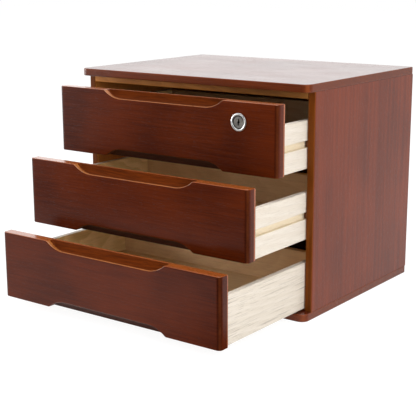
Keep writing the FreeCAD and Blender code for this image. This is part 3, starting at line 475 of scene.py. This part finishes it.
# Painted shade: drawer backs warm like the drawers' inner faces, each row's copy scaled by a share
# of shade, darkest for the top drawer's back.
BOX_BACK_WOODS = {
    row: pale_wood(
        f"{row}_back_wood", "x", (shift, 0.0, 0.0), light=shade((0.92, 0.68, 0.41), tone),
        straw=shade((0.8, 0.54, 0.3), tone), line=colour(0.4, 0.25, 0.13), heart=(0.0, 0.2, 0.1),
        ring_share=0.4)
    for row, tone, shift in zip(ROWS, (0.58, 0.9, 1.0), (0.15, 0.45, 0.8))
}
BOX_BOTTOM_WOOD = pale_wood(
    "box_bottom_wood", "x", (0.4, 0.0, 0.0), light=colour(0.76, 0.56, 0.33),
    straw=colour(0.64, 0.44, 0.24), line=colour(0.38, 0.22, 0.11), heart=(0.0, 0.35, 0.03),
    ring_share=0.35)
RUNNER_WOOD = stained_wood(
    "runner_stain", "y", (0.1, 0.3, 0.0), deep=colour(0.06, 0.016, 0.006),
    warm=colour(0.13, 0.04, 0.012), edge=colour(0.18, 0.06, 0.02),
    specular=0.3, gloss=0.4, coat=0.0)
BACK_SHEET = pale_wood(
    "back_sheet_wood", "z", (0.0, 0.5, 0.0), light=colour(0.22, 0.08, 0.03),
    straw=colour(0.17, 0.055, 0.02), line=colour(0.09, 0.03, 0.012), heart=(0.0, 0.1, 0.6),
    ring_share=0.25, spacing=0.02)
DOWEL_WOOD = pale_wood(
    "dowel_wood", "z", (0.0, 0.2, 0.0), light=colour(0.8, 0.68, 0.48),
    straw=colour(0.72, 0.58, 0.38), line=colour(0.5, 0.38, 0.22), heart=(0.0, 0.1, 0.1))

RING_CHROME = metal("lock_ring_chrome", colour(0.84, 0.84, 0.83), colour(0.62, 0.62, 0.61),
                    LOCK_CENTRE, 0.34)
# Painted shade: the lock's dish is coloured near black for the shade in its recess.
DISH_SHADE_CHROME = metal("lock_dish_painted_shade", colour(0.09, 0.085, 0.08), colour(0.03, 0.028, 0.026),
                    LOCK_CENTRE, 0.3)
PLUG_STEEL = metal("lock_plug_steel", colour(0.42, 0.39, 0.36), colour(0.15, 0.13, 0.11),
                   LOCK_CENTRE, 0.3)
# Painted shade: the key slot's walls, coloured near black for the shade inside it.
KEYWAY_SHADE = metal("keyway_painted_shade", colour(0.035, 0.032, 0.03), colour(0.01, 0.01, 0.01),
                     LOCK_CENTRE, 0.5)
WAFER_BRASS = metal("key_wafer_brass", colour(0.42, 0.33, 0.17), colour(0.16, 0.12, 0.06),
                    LOCK_CENTRE, 0.35)
CAM_STEEL = metal("cam_steel", colour(0.6, 0.59, 0.57), colour(0.3, 0.29, 0.27), LOCK_CENTRE, 0.35)
SCREW_STEEL = metal("screw_steel", colour(0.6, 0.59, 0.56), colour(0.25, 0.24, 0.22), ORIGIN, 0.35)


# ---------------------------------------------------------------- dressing the carried-over pieces

GROOVE_INSET = 0.0005
GROOVE_MARGIN = 0.01
KEYWAY_HALF_WIDTH = 0.002
KEYWAY_HALF_HEIGHT = 0.0041


def dress_node(node, material):
    """Give a carried-over node one finish."""
    mesh = NODES[node].data
    mesh.materials.clear()
    mesh.materials.append(material)
    for polygon in mesh.polygons:
        polygon.material_index = 0


def dress_faces(node, material, choose):
    """Give a further finish to the faces of a carried-over node that a rule picks."""
    mesh = NODES[node].data
    mesh.materials.append(material)
    for polygon in mesh.polygons:
        if choose(polygon.center, polygon.normal):
            polygon.material_index = len(mesh.materials) - 1


def dress_drawer_side(row, hand, toward_middle):
    """Outer face in pale wood, with painted shade in warmer copies of it on the grooves and inner
    face.
    """
    side = f"{row}_{hand}_side"
    low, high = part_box(side)

    def in_groove(centre, normal):
        within = low.x + GROOVE_INSET < centre.x < high.x - GROOVE_INSET
        inside = low.z + GROOVE_MARGIN < centre.z < high.z - GROOVE_MARGIN
        return within and inside and abs(normal.y) < 0.5

    dress_node(side, STREAKED_BOX_WOOD if row == "bottom" else BOX_WOOD)
    dress_faces(side, GROOVE_SHADE_WOOD, in_groove)
    dress_faces(side, BOX_INNER_SHADE_WOOD, lambda centre, normal: normal.x * toward_middle > 0.5)


def in_keyway(centre, normal):
    """Whether a face of the lock's plug lies in its key slot."""
    across, along = abs(centre.x - LOCK_CENTRE.x), abs(centre.z - LOCK_CENTRE.z)
    return across < KEYWAY_HALF_WIDTH and along < KEYWAY_HALF_HEIGHT and abs(normal.y) < 0.9


FINISHES = {
    "back_panel": BACK_SHEET, "lock_rail": RAIL_WOOD,
    "lower_dowels": DOWEL_WOOD, "upper_dowels": DOWEL_WOOD, "runner_screws": SCREW_STEEL,
    "lock_nut": CAM_STEEL, "lock_plug": PLUG_STEEL,
    "lock_cam": CAM_STEEL, "cam_washer": CAM_STEEL, "cam_screw": SCREW_STEEL,
}
FINISHES |= {f"{row}_bottom": BOX_BOTTOM_WOOD for row in ROWS}
FINISHES |= {f"{row}_{hand}_runner": RUNNER_WOOD for row in ("top", "middle") for hand in HANDS}
FINISHES |= {f"{hand}_glide_strip": RUNNER_WOOD for hand in HANDS}
FINISHES |= {f"{hand}_side_panel": PANEL_WOOD for hand in HANDS}
for node, finish in FINISHES.items():
    dress_node(node, finish)
for hand, toward_middle in zip(HANDS, (1, -1)):
    panel = f"{hand}_side_panel"
    dress_faces(panel, PANEL_INNER_WOOD, lambda centre, normal: normal.x * toward_middle > 0.5)
    dress_faces(panel, PANEL_EDGE_WOOD, lambda centre, normal: normal.y < -0.8)
    for row in ROWS:
        dress_drawer_side(row, hand, toward_middle)
# The key slot's walls get the painted shade.
dress_faces("lock_plug", KEYWAY_SHADE, in_keyway)


# ---------------------------------------------------------------- mesh building

def new_object(name, data):
    """New object of the scene."""
    thing = bpy.data.objects.new(name, data)
    bpy.context.scene.collection.objects.link(thing)
    return thing


def add_piece(name, mesh_maker, body, finishes, replaced=()):
    """Make a piece from a bmesh maker, smooth it and let it ride on its body."""
    shape = bmesh.new()
    mesh_maker(shape)
    bmesh.ops.recalc_face_normals(shape, faces=shape.faces)
    mesh = bpy.data.meshes.new(name)
    shape.to_mesh(mesh)
    shape.free()
    for polygon in mesh.polygons:
        polygon.use_smooth = True
    for finish in finishes:
        mesh.materials.append(finish)
    piece = new_object(name, mesh)
    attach(piece, body)
    if replaced:
        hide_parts(*replaced)
    weighted = piece.modifiers.new("even_faces", "WEIGHTED_NORMAL")
    weighted.keep_sharp = True
    return piece


def loft(shape, rings, closed_ends=True, ring_around=False):
    """Join rings of equally many points with four-sided faces; ring_around joins last to first."""
    corners = [[shape.verts.new(point) for point in ring] for ring in rings]
    pairs = list(zip(corners, corners[1:]))
    if ring_around:
        pairs.append((corners[-1], corners[0]))
    for first, second in pairs:
        for index in range(len(first)):
            following = (index + 1) % len(first)
            shape.faces.new((first[index], first[following], second[following], second[index]))
    if closed_ends:
        shape.faces.new(corners[0])
        shape.faces.new(reversed(corners[-1]))
    return corners


def spread(start, end, steps):
    """Evenly spaced values from a start to an end, both included."""
    return [start + (end - start) * step / steps for step in range(steps + 1)]


def quarter_turn(steps):
    """Sine and one minus cosine through a right angle."""
    return [(math.sin(angle), 1 - math.cos(angle)) for angle in spread(0.0, math.pi / 2, steps)]


def arris_turn(radius, steps):
    """Distances in from both faces along a rounded arris."""
    return [(radius * (1 - sine), radius * lift) for sine, lift in quarter_turn(steps)]


def arc_rise(radius, distance):
    """How far a circle leaves its tangent at a distance from the touching point."""
    return radius - math.sqrt(max(radius ** 2 - distance ** 2, 0.0))


def paint_faces(piece, choose):
    """Give each face the finish whose number choose(centre, normal) returns."""
    for polygon in piece.data.polygons:
        polygon.material_index = choose(polygon.center, polygon.normal)


# ---------------------------------------------------------------- drawer fronts

SCOOP_HALF = 0.0975
SCOOP_DROP = 0.0103
SCOOP_END_RADIUS = 0.043
SCOOP_CREST_RADIUS = 0.005
SCOOP_DEPTH = 0.011
SCOOP_RIM = 0.002
SCOOP_SLOPE_RADIUS = 0.025
CREASE = 0.0009
UPRIGHT_RADIUS = 0.006
FACE_ARRIS = 0.0013
REAR_ARRIS = 0.0006

SCOOP_LEAN = math.acos(1 - SCOOP_DROP / (SCOOP_END_RADIUS + SCOOP_CREST_RADIUS))
CREST_HALF = SCOOP_HALF - SCOOP_CREST_RADIUS * math.sin(SCOOP_LEAN)
FLAT_HALF = CREST_HALF - SCOOP_END_RADIUS * math.sin(SCOOP_LEAN)

# Widths of the bands where the stain is rubbed thin, along the rear edges and at the ends; of the
# painted highlight along the scoop's rim; and what that highlight gains toward its left crest.
REAR_LINE = 0.0015
END_LINE = 0.0028
RIM_HIGHLIGHT_LINE = 0.0017
CREST_HIGHLIGHT_GAIN = 0.0045

# How near a long edge a face counts as that edge, and how far behind the front the rim starts.
EDGE_REACH = 0.0004
RIM_START = 0.0003

# How far from a rounding the neighbouring flat face gets a line, so that it shades flat.
FLAT_LEAD = 0.002
ARRIS_LEAD = 0.0006

SCOOP_END_STEPS = 18
CREST_STEPS = 8
UPRIGHT_STEPS = 10
SLOPE_STEPS = 12
FACE_ARRIS_STEPS = 5
REAR_ARRIS_STEPS = 3

FACE, EDGE, SLOPE, UNDERCUT, RIM = range(5)
FRONT_FINISHES = (FRONT_WOOD, FRONT_EDGE_WOOD, SCOOP_WOOD, UNDERCUT_SHADE_WOOD, SCOOP_RIM_HIGHLIGHT_WOOD)


def outline_drop(x):
    """Drop of the scoop's ogee outline below the edge at x from the drawer's middle."""
    x = abs(x)
    if x >= SCOOP_HALF:
        return 0.0
    if x >= CREST_HALF:
        return arc_rise(SCOOP_CREST_RADIUS, SCOOP_HALF - x)
    if x >= FLAT_HALF:
        return SCOOP_DROP - arc_rise(SCOOP_END_RADIUS, x - FLAT_HALF)
    return SCOOP_DROP


def slope_drop(depth):
    """Drop of the scoop's hollow slope at a depth behind the face."""
    if depth <= SCOOP_RIM:
        return 1.0
    if depth >= SCOOP_DEPTH:
        return 0.0
    run = SCOOP_DEPTH - SCOOP_RIM
    chord = math.hypot(run, SCOOP_DROP)
    reach = math.sqrt(SCOOP_SLOPE_RADIUS ** 2 - (chord / 2) ** 2)
    centre_depth = SCOOP_RIM + run / 2 - reach * SCOOP_DROP / chord
    centre_drop = SCOOP_DROP / 2 - reach * run / chord
    return centre_drop + math.sqrt(SCOOP_SLOPE_RADIUS ** 2 - (depth - centre_depth) ** 2)


def scoop_drop(x, depth):
    """Drop of the finished scoop, its inner crease slightly filled."""
    first, second = outline_drop(x), slope_drop(depth)
    least = min(first, second)
    softness = min(CREASE, 2 * least)
    if softness <= 0:
        return least
    near = max(softness - abs(first - second), 0.0) / softness
    return least - near * near * softness / 4


def front_stations(half):
    """Places across a drawer front where its section is drawn, from left to right."""
    rounding = half - UPRIGHT_RADIUS
    right = [0.0, FLAT_HALF / 2]
    right += spread(FLAT_HALF, CREST_HALF, SCOOP_END_STEPS)[:-1]
    right += spread(CREST_HALF, SCOOP_HALF, CREST_STEPS)
    right += [SCOOP_HALF + FLAT_LEAD, rounding - FLAT_LEAD]
    right += [rounding + UPRIGHT_RADIUS * sine for sine, _ in quarter_turn(UPRIGHT_STEPS)]
    return [-x for x in reversed(right[1:])] + right


def front_section(x, half, height, thickness):
    """Half section of a drawer front at x: depth and distance in from its edge, face to back."""
    face = arc_rise(UPRIGHT_RADIUS, max(abs(x) - (half - UPRIGHT_RADIUS), 0.0))
    end_drop = arc_rise(FACE_ARRIS, max(abs(x) - (half - FACE_ARRIS), 0.0))
    rim = outline_drop(x) + end_drop
    points = [(face, height / 2), (face, rim + FACE_ARRIS + ARRIS_LEAD)]
    points += [(face + lift * FACE_ARRIS, rim + (1 - sine) * FACE_ARRIS)
               for sine, lift in quarter_turn(FACE_ARRIS_STEPS)]
    start = face + FACE_ARRIS
    for depth in spread(SCOOP_RIM, SCOOP_DEPTH, SLOPE_STEPS):
        share = (depth - FACE_ARRIS) / (SCOOP_DEPTH - FACE_ARRIS)
        points.append((start + share * (SCOOP_DEPTH - start), scoop_drop(x, depth) + end_drop))
    points += [(thickness - line, end_drop) for line in (END_LINE, REAR_LINE)]
    points += [(thickness - REAR_ARRIS + sine * REAR_ARRIS, end_drop + lift * REAR_ARRIS)
               for sine, lift in quarter_turn(REAR_ARRIS_STEPS)]
    return points


def cap_front_end(shape, ring, count):
    """Close a drawer front's end with strips from its upper to its lower edge."""
    shape.faces.new(ring[:4] + ring[2 * count - 4:])
    for index in range(3, count - 1):
        mirrored = 2 * count - 1 - index
        shape.faces.new((ring[index], ring[index + 1], ring[mirrored - 1], ring[mirrored]))


def make_drawer_front(row):
    """Drawer front drawn as sections across its width, with scoops in both long edges."""
    low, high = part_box(f"{row}_front")
    half, height, thickness = (high.x - low.x) / 2, high.z - low.z, high.y - low.y

    def sections(shape):
        rings = []
        for x in front_stations(half):
            points = front_section(x, half, height, thickness)
            upper = [(x, low.y + depth, high.z - inward) for depth, inward in points]
            lower = [(x, low.y + depth, low.z + inward) for depth, inward in reversed(points[1:])]
            rings.append(upper + lower)
        corners = loft(shape, rings, closed_ends=False)
        for ring in (corners[0], corners[-1]):
            cap_front_end(shape, ring, len(points))

    def finish(centre, normal):
        from_edge = min(high.z - centre.z, centre.z - low.z)
        behind = centre.y - low.y
        in_upper_half = centre.z > (low.z + high.z) / 2
        at_scoop = abs(centre.x) < SCOOP_HALF
        if behind > thickness - REAR_LINE and abs(normal.y) < 0.98:
            return EDGE
        if row != "bottom" and behind > thickness - END_LINE and abs(normal.x) > 0.9:
            return EDGE
        if abs(normal.z) > 0.8 and from_edge < EDGE_REACH:
            return EDGE
        # Painted highlight: a lighter band along the scoop's rim, widening toward its left crest.
        toward_crest = max(-centre.x - FLAT_HALF, 0.0) / (CREST_HALF - FLAT_HALF)
        rubbed = RIM_START < behind < RIM_HIGHLIGHT_LINE + CREST_HIGHLIGHT_GAIN * toward_crest
        if at_scoop and in_upper_half and rubbed and from_edge < SCOOP_DROP + FACE_ARRIS:
            return RIM
        if at_scoop and behind > FACE_ARRIS and from_edge < SCOOP_DROP:
            return SLOPE if in_upper_half else UNDERCUT
        return FACE

    piece = add_piece(f"{row}_front_board", sections, f"{row}_drawer", FRONT_FINISHES,
                      (f"{row}_front",))
    paint_faces(piece, finish)
    return piece


# ---------------------------------------------------------------- drawer backs

BACK_ARRIS = 0.0015
BACK_ARRIS_STEPS = 4
BACK_END_GAP = 0.0003


def make_drawer_back(row):
    """Drawer back, grooved for the bottom and cut a little short of the runners."""
    low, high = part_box(f"{row}_back")
    floor_low, floor_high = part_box(f"{row}_bottom")
    turn = arris_turn(BACK_ARRIS, BACK_ARRIS_STEPS)
    section = [(low.y, low.z), (high.y, low.z)]
    section += [(high.y - inward, high.z - drop) for drop, inward in turn]
    section += [(low.y + inward, high.z - drop) for drop, inward in reversed(turn)]
    section += [(low.y, floor_high.z), (floor_high.y, floor_high.z),
                (floor_high.y, floor_low.z), (low.y, floor_low.z)]
    ends = (low.x + BACK_END_GAP, high.x - BACK_END_GAP)

    def board(shape):
        loft(shape, [[(x, y, z) for y, z in section] for x in ends])

    add_piece(f"{row}_back_board", board, f"{row}_drawer", (BOX_BACK_WOODS[row],),
              (f"{row}_back",))


# ---------------------------------------------------------------- boards

BOARD_FRONT_RADIUS = 0.011
BOARD_REAR_RADIUS = 0.004
BOARD_ARRIS = 0.0012
BOARD_ARRIS_LEAD = 0.0005
BOARD_ARRIS_STEPS = 4
BOARD_CORNER_STEPS = 8


def rounded_plan(low, high, inset):
    """Corner points of a board's plan, moved in by an inset; its front corners are rounder."""
    corners = (
        (high.x, high.y, BOARD_REAR_RADIUS), (low.x, high.y, BOARD_REAR_RADIUS),
        (low.x, low.y, BOARD_FRONT_RADIUS), (high.x, low.y, BOARD_FRONT_RADIUS),
    )
    middle = (low + high) / 2
    points = []
    for quarter, (x, y, radius) in enumerate(corners):
        centre_x = x - math.copysign(radius, x - middle.x)
        centre_y = y - math.copysign(radius, y - middle.y)
        for turn in spread(quarter, quarter + 1, BOARD_CORNER_STEPS):
            angle = turn * math.pi / 2
            points.append((centre_x + (radius - inset) * math.cos(angle),
                           centre_y + (radius - inset) * math.sin(angle)))
    return points


def make_board(node):
    """Upper or lower board with rounded corners and softly rounded arrises."""
    low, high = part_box(node)
    turn = arris_turn(BOARD_ARRIS, BOARD_ARRIS_STEPS)
    lead = BOARD_ARRIS + BOARD_ARRIS_LEAD
    levels = [(inset, low.z + rise) for inset, rise in turn]
    levels += [(0.0, low.z + lead), (0.0, high.z - lead)]
    levels += [(inset, high.z - rise) for inset, rise in reversed(turn)]

    def plans(shape):
        loft(shape, [[(x, y, z) for x, y in rounded_plan(low, high, inset)] for inset, z in levels])

    piece = add_piece(f"{node}_panel", plans, "carcass", (BOARD_WOOD, BOARD_EDGE_WOOD),
                      (node,))
    paint_faces(piece, lambda centre, normal: int(abs(normal.z) < 0.8))


# ---------------------------------------------------------------- lock

RING_SEGMENTS = 96
CROWN_STEPS = 12
BARREL_RADIUS = 0.0095
BARREL_FLATS = 0.008
BORE_RADIUS = 0.0063
SHOULDER_DEPTH = 0.0007
DISH_RADIUS = 0.0083
DISH_DEPTH = 0.0009
# Radius and depth behind the crown of the dish's steps, from the plug's well outward.
DISH_STEPS = ((0.00695, 0.0011), (0.0072, 0.0009), (0.0076, 0.0010), (0.0080, 0.0011),
              (DISH_RADIUS, DISH_DEPTH))
THREAD_PITCH = 0.001
THREAD_DEPTH = 0.0004
THREAD_START = 0.0006
THREAD_RUNOUT = 0.001
THREAD_TAIL = 0.0003
RING_BEVEL = 0.0002
BODY_BEVEL = 0.0007
FLATS_START = 0.0001
LOCK_HOLE_RADIUS = 0.0097
LOCK_HOLE_LENGTH = 0.06

WAFER_COUNT = 4
WAFER_START = 0.0016
WAFER_PITCH = 0.0022
WAFER_THICKNESS = 0.0006
WAFER_HALF_WIDTH = 0.00085
WAFER_REACH = 0.0039
WAFER_TIP = 0.0009
WAFER_TIP_STEP = 0.0003


def turned_rings(profile, centre, face):
    """Rings of points about the lock's axis from pairs of radius and depth behind the face."""
    angles = [math.tau * number / RING_SEGMENTS for number in range(RING_SEGMENTS)]
    return [[(centre.x + radius * math.cos(angle), face + depth,
              centre.z + radius * math.sin(angle)) for angle in angles]
            for radius, depth in profile]


def make_lock_ring():
    """Lock barrel with a crowned face ring, a stepped dish, a threaded body and two flats."""
    low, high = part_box("lock_barrel")
    centre = (low + high) / 2
    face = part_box("top_front")[0].y
    ring, front, end = (high.x - low.x) / 2, low.y - face, high.y - face
    crown = (ring - DISH_RADIUS) / 2
    root = BARREL_RADIUS - THREAD_DEPTH

    profile = [(BORE_RADIUS, SHOULDER_DEPTH), (DISH_STEPS[0][0], SHOULDER_DEPTH)]
    profile += [(radius, front + depth) for radius, depth in DISH_STEPS]
    profile += [(ring - crown - crown * math.cos(angle),
                 front + DISH_DEPTH - DISH_DEPTH * math.sin(angle))
                for angle in spread(0.0, math.pi, CROWN_STEPS)[1:]]
    profile += [(ring, -RING_BEVEL), (ring - RING_BEVEL, 0.0), (BARREL_RADIUS, 0.0)]
    for turn in range(int((end - THREAD_RUNOUT) / THREAD_PITCH)):
        start = THREAD_START + turn * THREAD_PITCH
        profile += [(root, start), (BARREL_RADIUS, start + THREAD_PITCH / 2)]
    profile += [(root, end - THREAD_TAIL), (BARREL_RADIUS - BODY_BEVEL, end), (BORE_RADIUS, end)]

    def barrel(shape):
        loft(shape, turned_rings(profile, centre, face), closed_ends=False, ring_around=True)
        for vertex in shape.verts:
            if vertex.co.y > face + FLATS_START:
                across = vertex.co.x - centre.x
                vertex.co.x = centre.x + max(-BARREL_FLATS, min(BARREL_FLATS, across))

    def in_dish(place, normal):
        radius = math.hypot(place.x - centre.x, place.z - centre.z)
        return int(radius < DISH_RADIUS and place.y < face + DISH_DEPTH)

    piece = add_piece("lock_ring", barrel, "top_drawer", (RING_CHROME, DISH_SHADE_CHROME),
                      ("lock_barrel",))
    # The dish gets the painted shade of its recess.
    paint_faces(piece, in_dish)


def make_key_wafers():
    """Brass wafers seen in the key slot, behind the plug's face."""
    low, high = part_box("lock_plug")
    centre = (low + high) / 2

    def wafers(shape):
        for number in range(WAFER_COUNT):
            front = low.y + WAFER_START + number * WAFER_PITCH
            for side in (-1, 1):
                tip = WAFER_TIP + WAFER_TIP_STEP * ((number * 2 + side) % 3)
                lower, upper = sorted((side * tip, side * WAFER_REACH))
                outline = ((-WAFER_HALF_WIDTH, lower), (WAFER_HALF_WIDTH, lower),
                           (WAFER_HALF_WIDTH, upper), (-WAFER_HALF_WIDTH, upper))
                loft(shape, [[(centre.x + x, y, centre.z + z) for x, z in outline]
                             for y in (front, front + WAFER_THICKNESS)])

    add_piece("key_wafers", wafers, "lock_turning", (WAFER_BRASS,))


def bore_lock_hole(board):
    """Bore the lock's hole through a drawer front."""
    bpy.ops.mesh.primitive_cylinder_add(
        vertices=RING_SEGMENTS, radius=LOCK_HOLE_RADIUS, depth=LOCK_HOLE_LENGTH,
        location=LOCK_CENTRE, rotation=(math.pi / 2, 0.0, 0.0))
    drill = bpy.context.object
    cut = board.modifiers.new("lock_hole", "BOOLEAN")
    cut.operation, cut.object = "DIFFERENCE", drill
    board.modifiers.move(board.modifiers.find("lock_hole"), 0)
    with bpy.context.temp_override(object=board):
        bpy.ops.object.modifier_apply(modifier="lock_hole")
    bpy.data.objects.remove(drill)


for row in ROWS:
    make_drawer_back(row)
    front_board = make_drawer_front(row)
    if row == "top":
        bore_lock_hole(front_board)
make_board("top_board")
make_board("bottom_board")
make_lock_ring()
make_key_wafers()


# ---------------------------------------------------------------- floor, light and camera

STUDIO_WHITE = colour(1.0, 1.0, 1.0)
STUDIO_GREY = colour(0.42, 0.42, 0.43)
STUDIO_DUSK = colour(0.05, 0.05, 0.05)
FLOOR_PAINT = colour(0.9, 0.9, 0.9)
BACKDROP_SIDE = (-0.57, 0.82, 0.0)
BACKDROP_FADE = (-0.35, 0.0)

FLOOR_SIZE = 16.0
FLOOR_GAP = 0.0004
FLOOR_GLOW = 1.16
GLOW_SHARE = 0.8
# Where gloss sees the floor lit: ahead of the fronts and left of a fading line, under and behind
# the case, and far to the left.
LIT_AHEAD = (-0.72, -0.52)
LIT_LEFT_OF = (-0.12, 0.2)
LIT_BEHIND = (-0.26, -0.15)
FAR_LEFT_SIDE = (-0.8, 0.6, 0.0)
LIT_FAR_LEFT = (0.02, 0.4)

CAMERA_PLACE = (0.83256, -1.2043, 0.43696)
CAMERA_TURN, CAMERA_DIP, CAMERA_ROLL = 0.6428, -0.2283, -0.0037
CAMERA_SENSOR = 36.0
CAMERA_LENS = 90.4846154


def ray_kinds(tree):
    """One for what the eye meets, and one for what gloss and glass show of the surround."""
    path = put(tree, "LightPath").outputs
    in_gloss = calc(tree, "MAXIMUM", path["Is Glossy Ray"], path["Is Transmission Ray"])
    return path["Is Camera Ray"], in_gloss


def make_world():
    """Studio surround: a white backdrop, which gloss sees fall off to dusk before the cabinet."""
    world = bpy.data.worlds.new("studio")
    bpy.context.scene.world = world
    tree = empty_tree(world)
    by_eye, in_gloss = ray_kinds(tree)
    direction = put(tree, "TexCoord").outputs["Generated"]
    ahead = vector_measure(tree, "DOT_PRODUCT", direction, BACKDROP_SIDE)
    backdrop = blend_colours(tree, fade(tree, ahead, *BACKDROP_FADE), STUDIO_DUSK, STUDIO_WHITE)
    tint = blend_colours(tree, in_gloss, STUDIO_GREY, backdrop)
    background = put(tree, "Background", {"Color": blend_colours(tree, by_eye, tint, STUDIO_WHITE)})
    put(tree, "OutputWorld", {"Surface": background.outputs[0]})


def make_floor():
    """White floor that keeps a soft shadow; gloss sees it fall off to dusk in front."""
    bpy.ops.mesh.primitive_plane_add(size=FLOOR_SIZE, location=(0.0, 0.0, cad_box[0].z - FLOOR_GAP))
    floor = bpy.context.object
    floor.name = "studio_floor"
    material = bpy.data.materials.new("floor_paint")
    tree = empty_tree(material)
    by_eye, in_gloss = ray_kinds(tree)
    place = put(tree, "TexCoord").outputs["Object"]
    across, depth = put(tree, "SeparateXYZ", {"Vector": place}).outputs[:2]
    far_left = vector_measure(tree, "DOT_PRODUCT", place, FAR_LEFT_SIDE)
    lit = calc(tree, "MULTIPLY", fade(tree, depth, *LIT_AHEAD),
               fade(tree, across, *LIT_LEFT_OF, 1.0, 0.0))
    for other in (fade(tree, depth, *LIT_BEHIND), fade(tree, far_left, *LIT_FAR_LEFT),
                  calc(tree, "SUBTRACT", 1.0, in_gloss)):
        lit = calc(tree, "MAXIMUM", lit, other)
    paint = put(tree, "BsdfDiffuse", {"Color": blend_colours(tree, lit, STUDIO_DUSK, FLOOR_PAINT)})
    glow = put(tree, "Emission", {"Color": STUDIO_WHITE, "Strength": FLOOR_GLOW})
    seen = calc(tree, "MAXIMUM", by_eye, calc(tree, "MULTIPLY", in_gloss, lit))
    mixed = put(tree, "MixShader", {0: calc(tree, "MULTIPLY", seen, GLOW_SHARE),
                                    1: paint.outputs[0], 2: glow.outputs[0]})
    put(tree, "OutputMaterial", {"Surface": mixed.outputs[0]})
    floor.data.materials.append(material)


def softbox(name, place, aim, width, height, power, gleams=True):
    """Rectangular lamp pointed at a spot, itself out of sight, gleaming in the finish or not."""
    lamp = bpy.data.lights.new(name, "AREA")
    lamp.shape = "RECTANGLE"
    lamp.size = width
    lamp.size_y = height
    lamp.energy = power
    thing = new_object(name, lamp)
    turn = (Vector(aim) - Vector(place)).to_track_quat("-Z", "Y")
    thing.matrix_world = Matrix.Translation(place) @ turn.to_matrix().to_4x4()
    thing.visible_camera = False
    thing.visible_glossy = gleams


def make_camera():
    """Camera ahead of the right front corner and above it, looking down a little."""
    forward = Vector((-math.sin(CAMERA_TURN) * math.cos(CAMERA_DIP),
                      math.cos(CAMERA_TURN) * math.cos(CAMERA_DIP), math.sin(CAMERA_DIP)))
    level = Vector((math.cos(CAMERA_TURN), math.sin(CAMERA_TURN), 0.0))
    upright = level.cross(forward)
    right = math.cos(CAMERA_ROLL) * level + math.sin(CAMERA_ROLL) * upright
    up = -math.sin(CAMERA_ROLL) * level + math.cos(CAMERA_ROLL) * upright
    camera = bpy.data.cameras.new("camera")
    camera.sensor_width = CAMERA_SENSOR
    camera.lens = CAMERA_LENS
    camera.clip_end = 50.0
    thing = new_object("camera", camera)
    axes = Matrix((right, up, -forward)).transposed().to_4x4()
    thing.matrix_world = Matrix.Translation(CAMERA_PLACE) @ axes
    bpy.context.scene.camera = thing


make_world()
make_floor()
softbox("key_right", (2.3, -1.1, 1.5), (0.0, -0.1, 0.15), 1.3, 1.3, 31.0)
softbox("low_right", (2.4, -1.0, 0.5), (0.0, -0.1, 0.1), 0.9, 0.6, 14.5, gleams=False)
softbox("overhead", (0.1, -0.1, 2.3), (0.0, 0.0, 0.0), 1.6, 1.6, 42.0)
softbox("rear_left", (-1.6, 2.1, 0.95), (0.0, 0.0, 0.28), 2.2, 0.9, 3.6)
softbox("front_left", (-2.1, -0.9, 0.5), (-0.1, -0.15, 0.08), 1.2, 0.8, 34.0)
make_camera()
bpy.context.scene.view_settings.view_transform = "Standard"
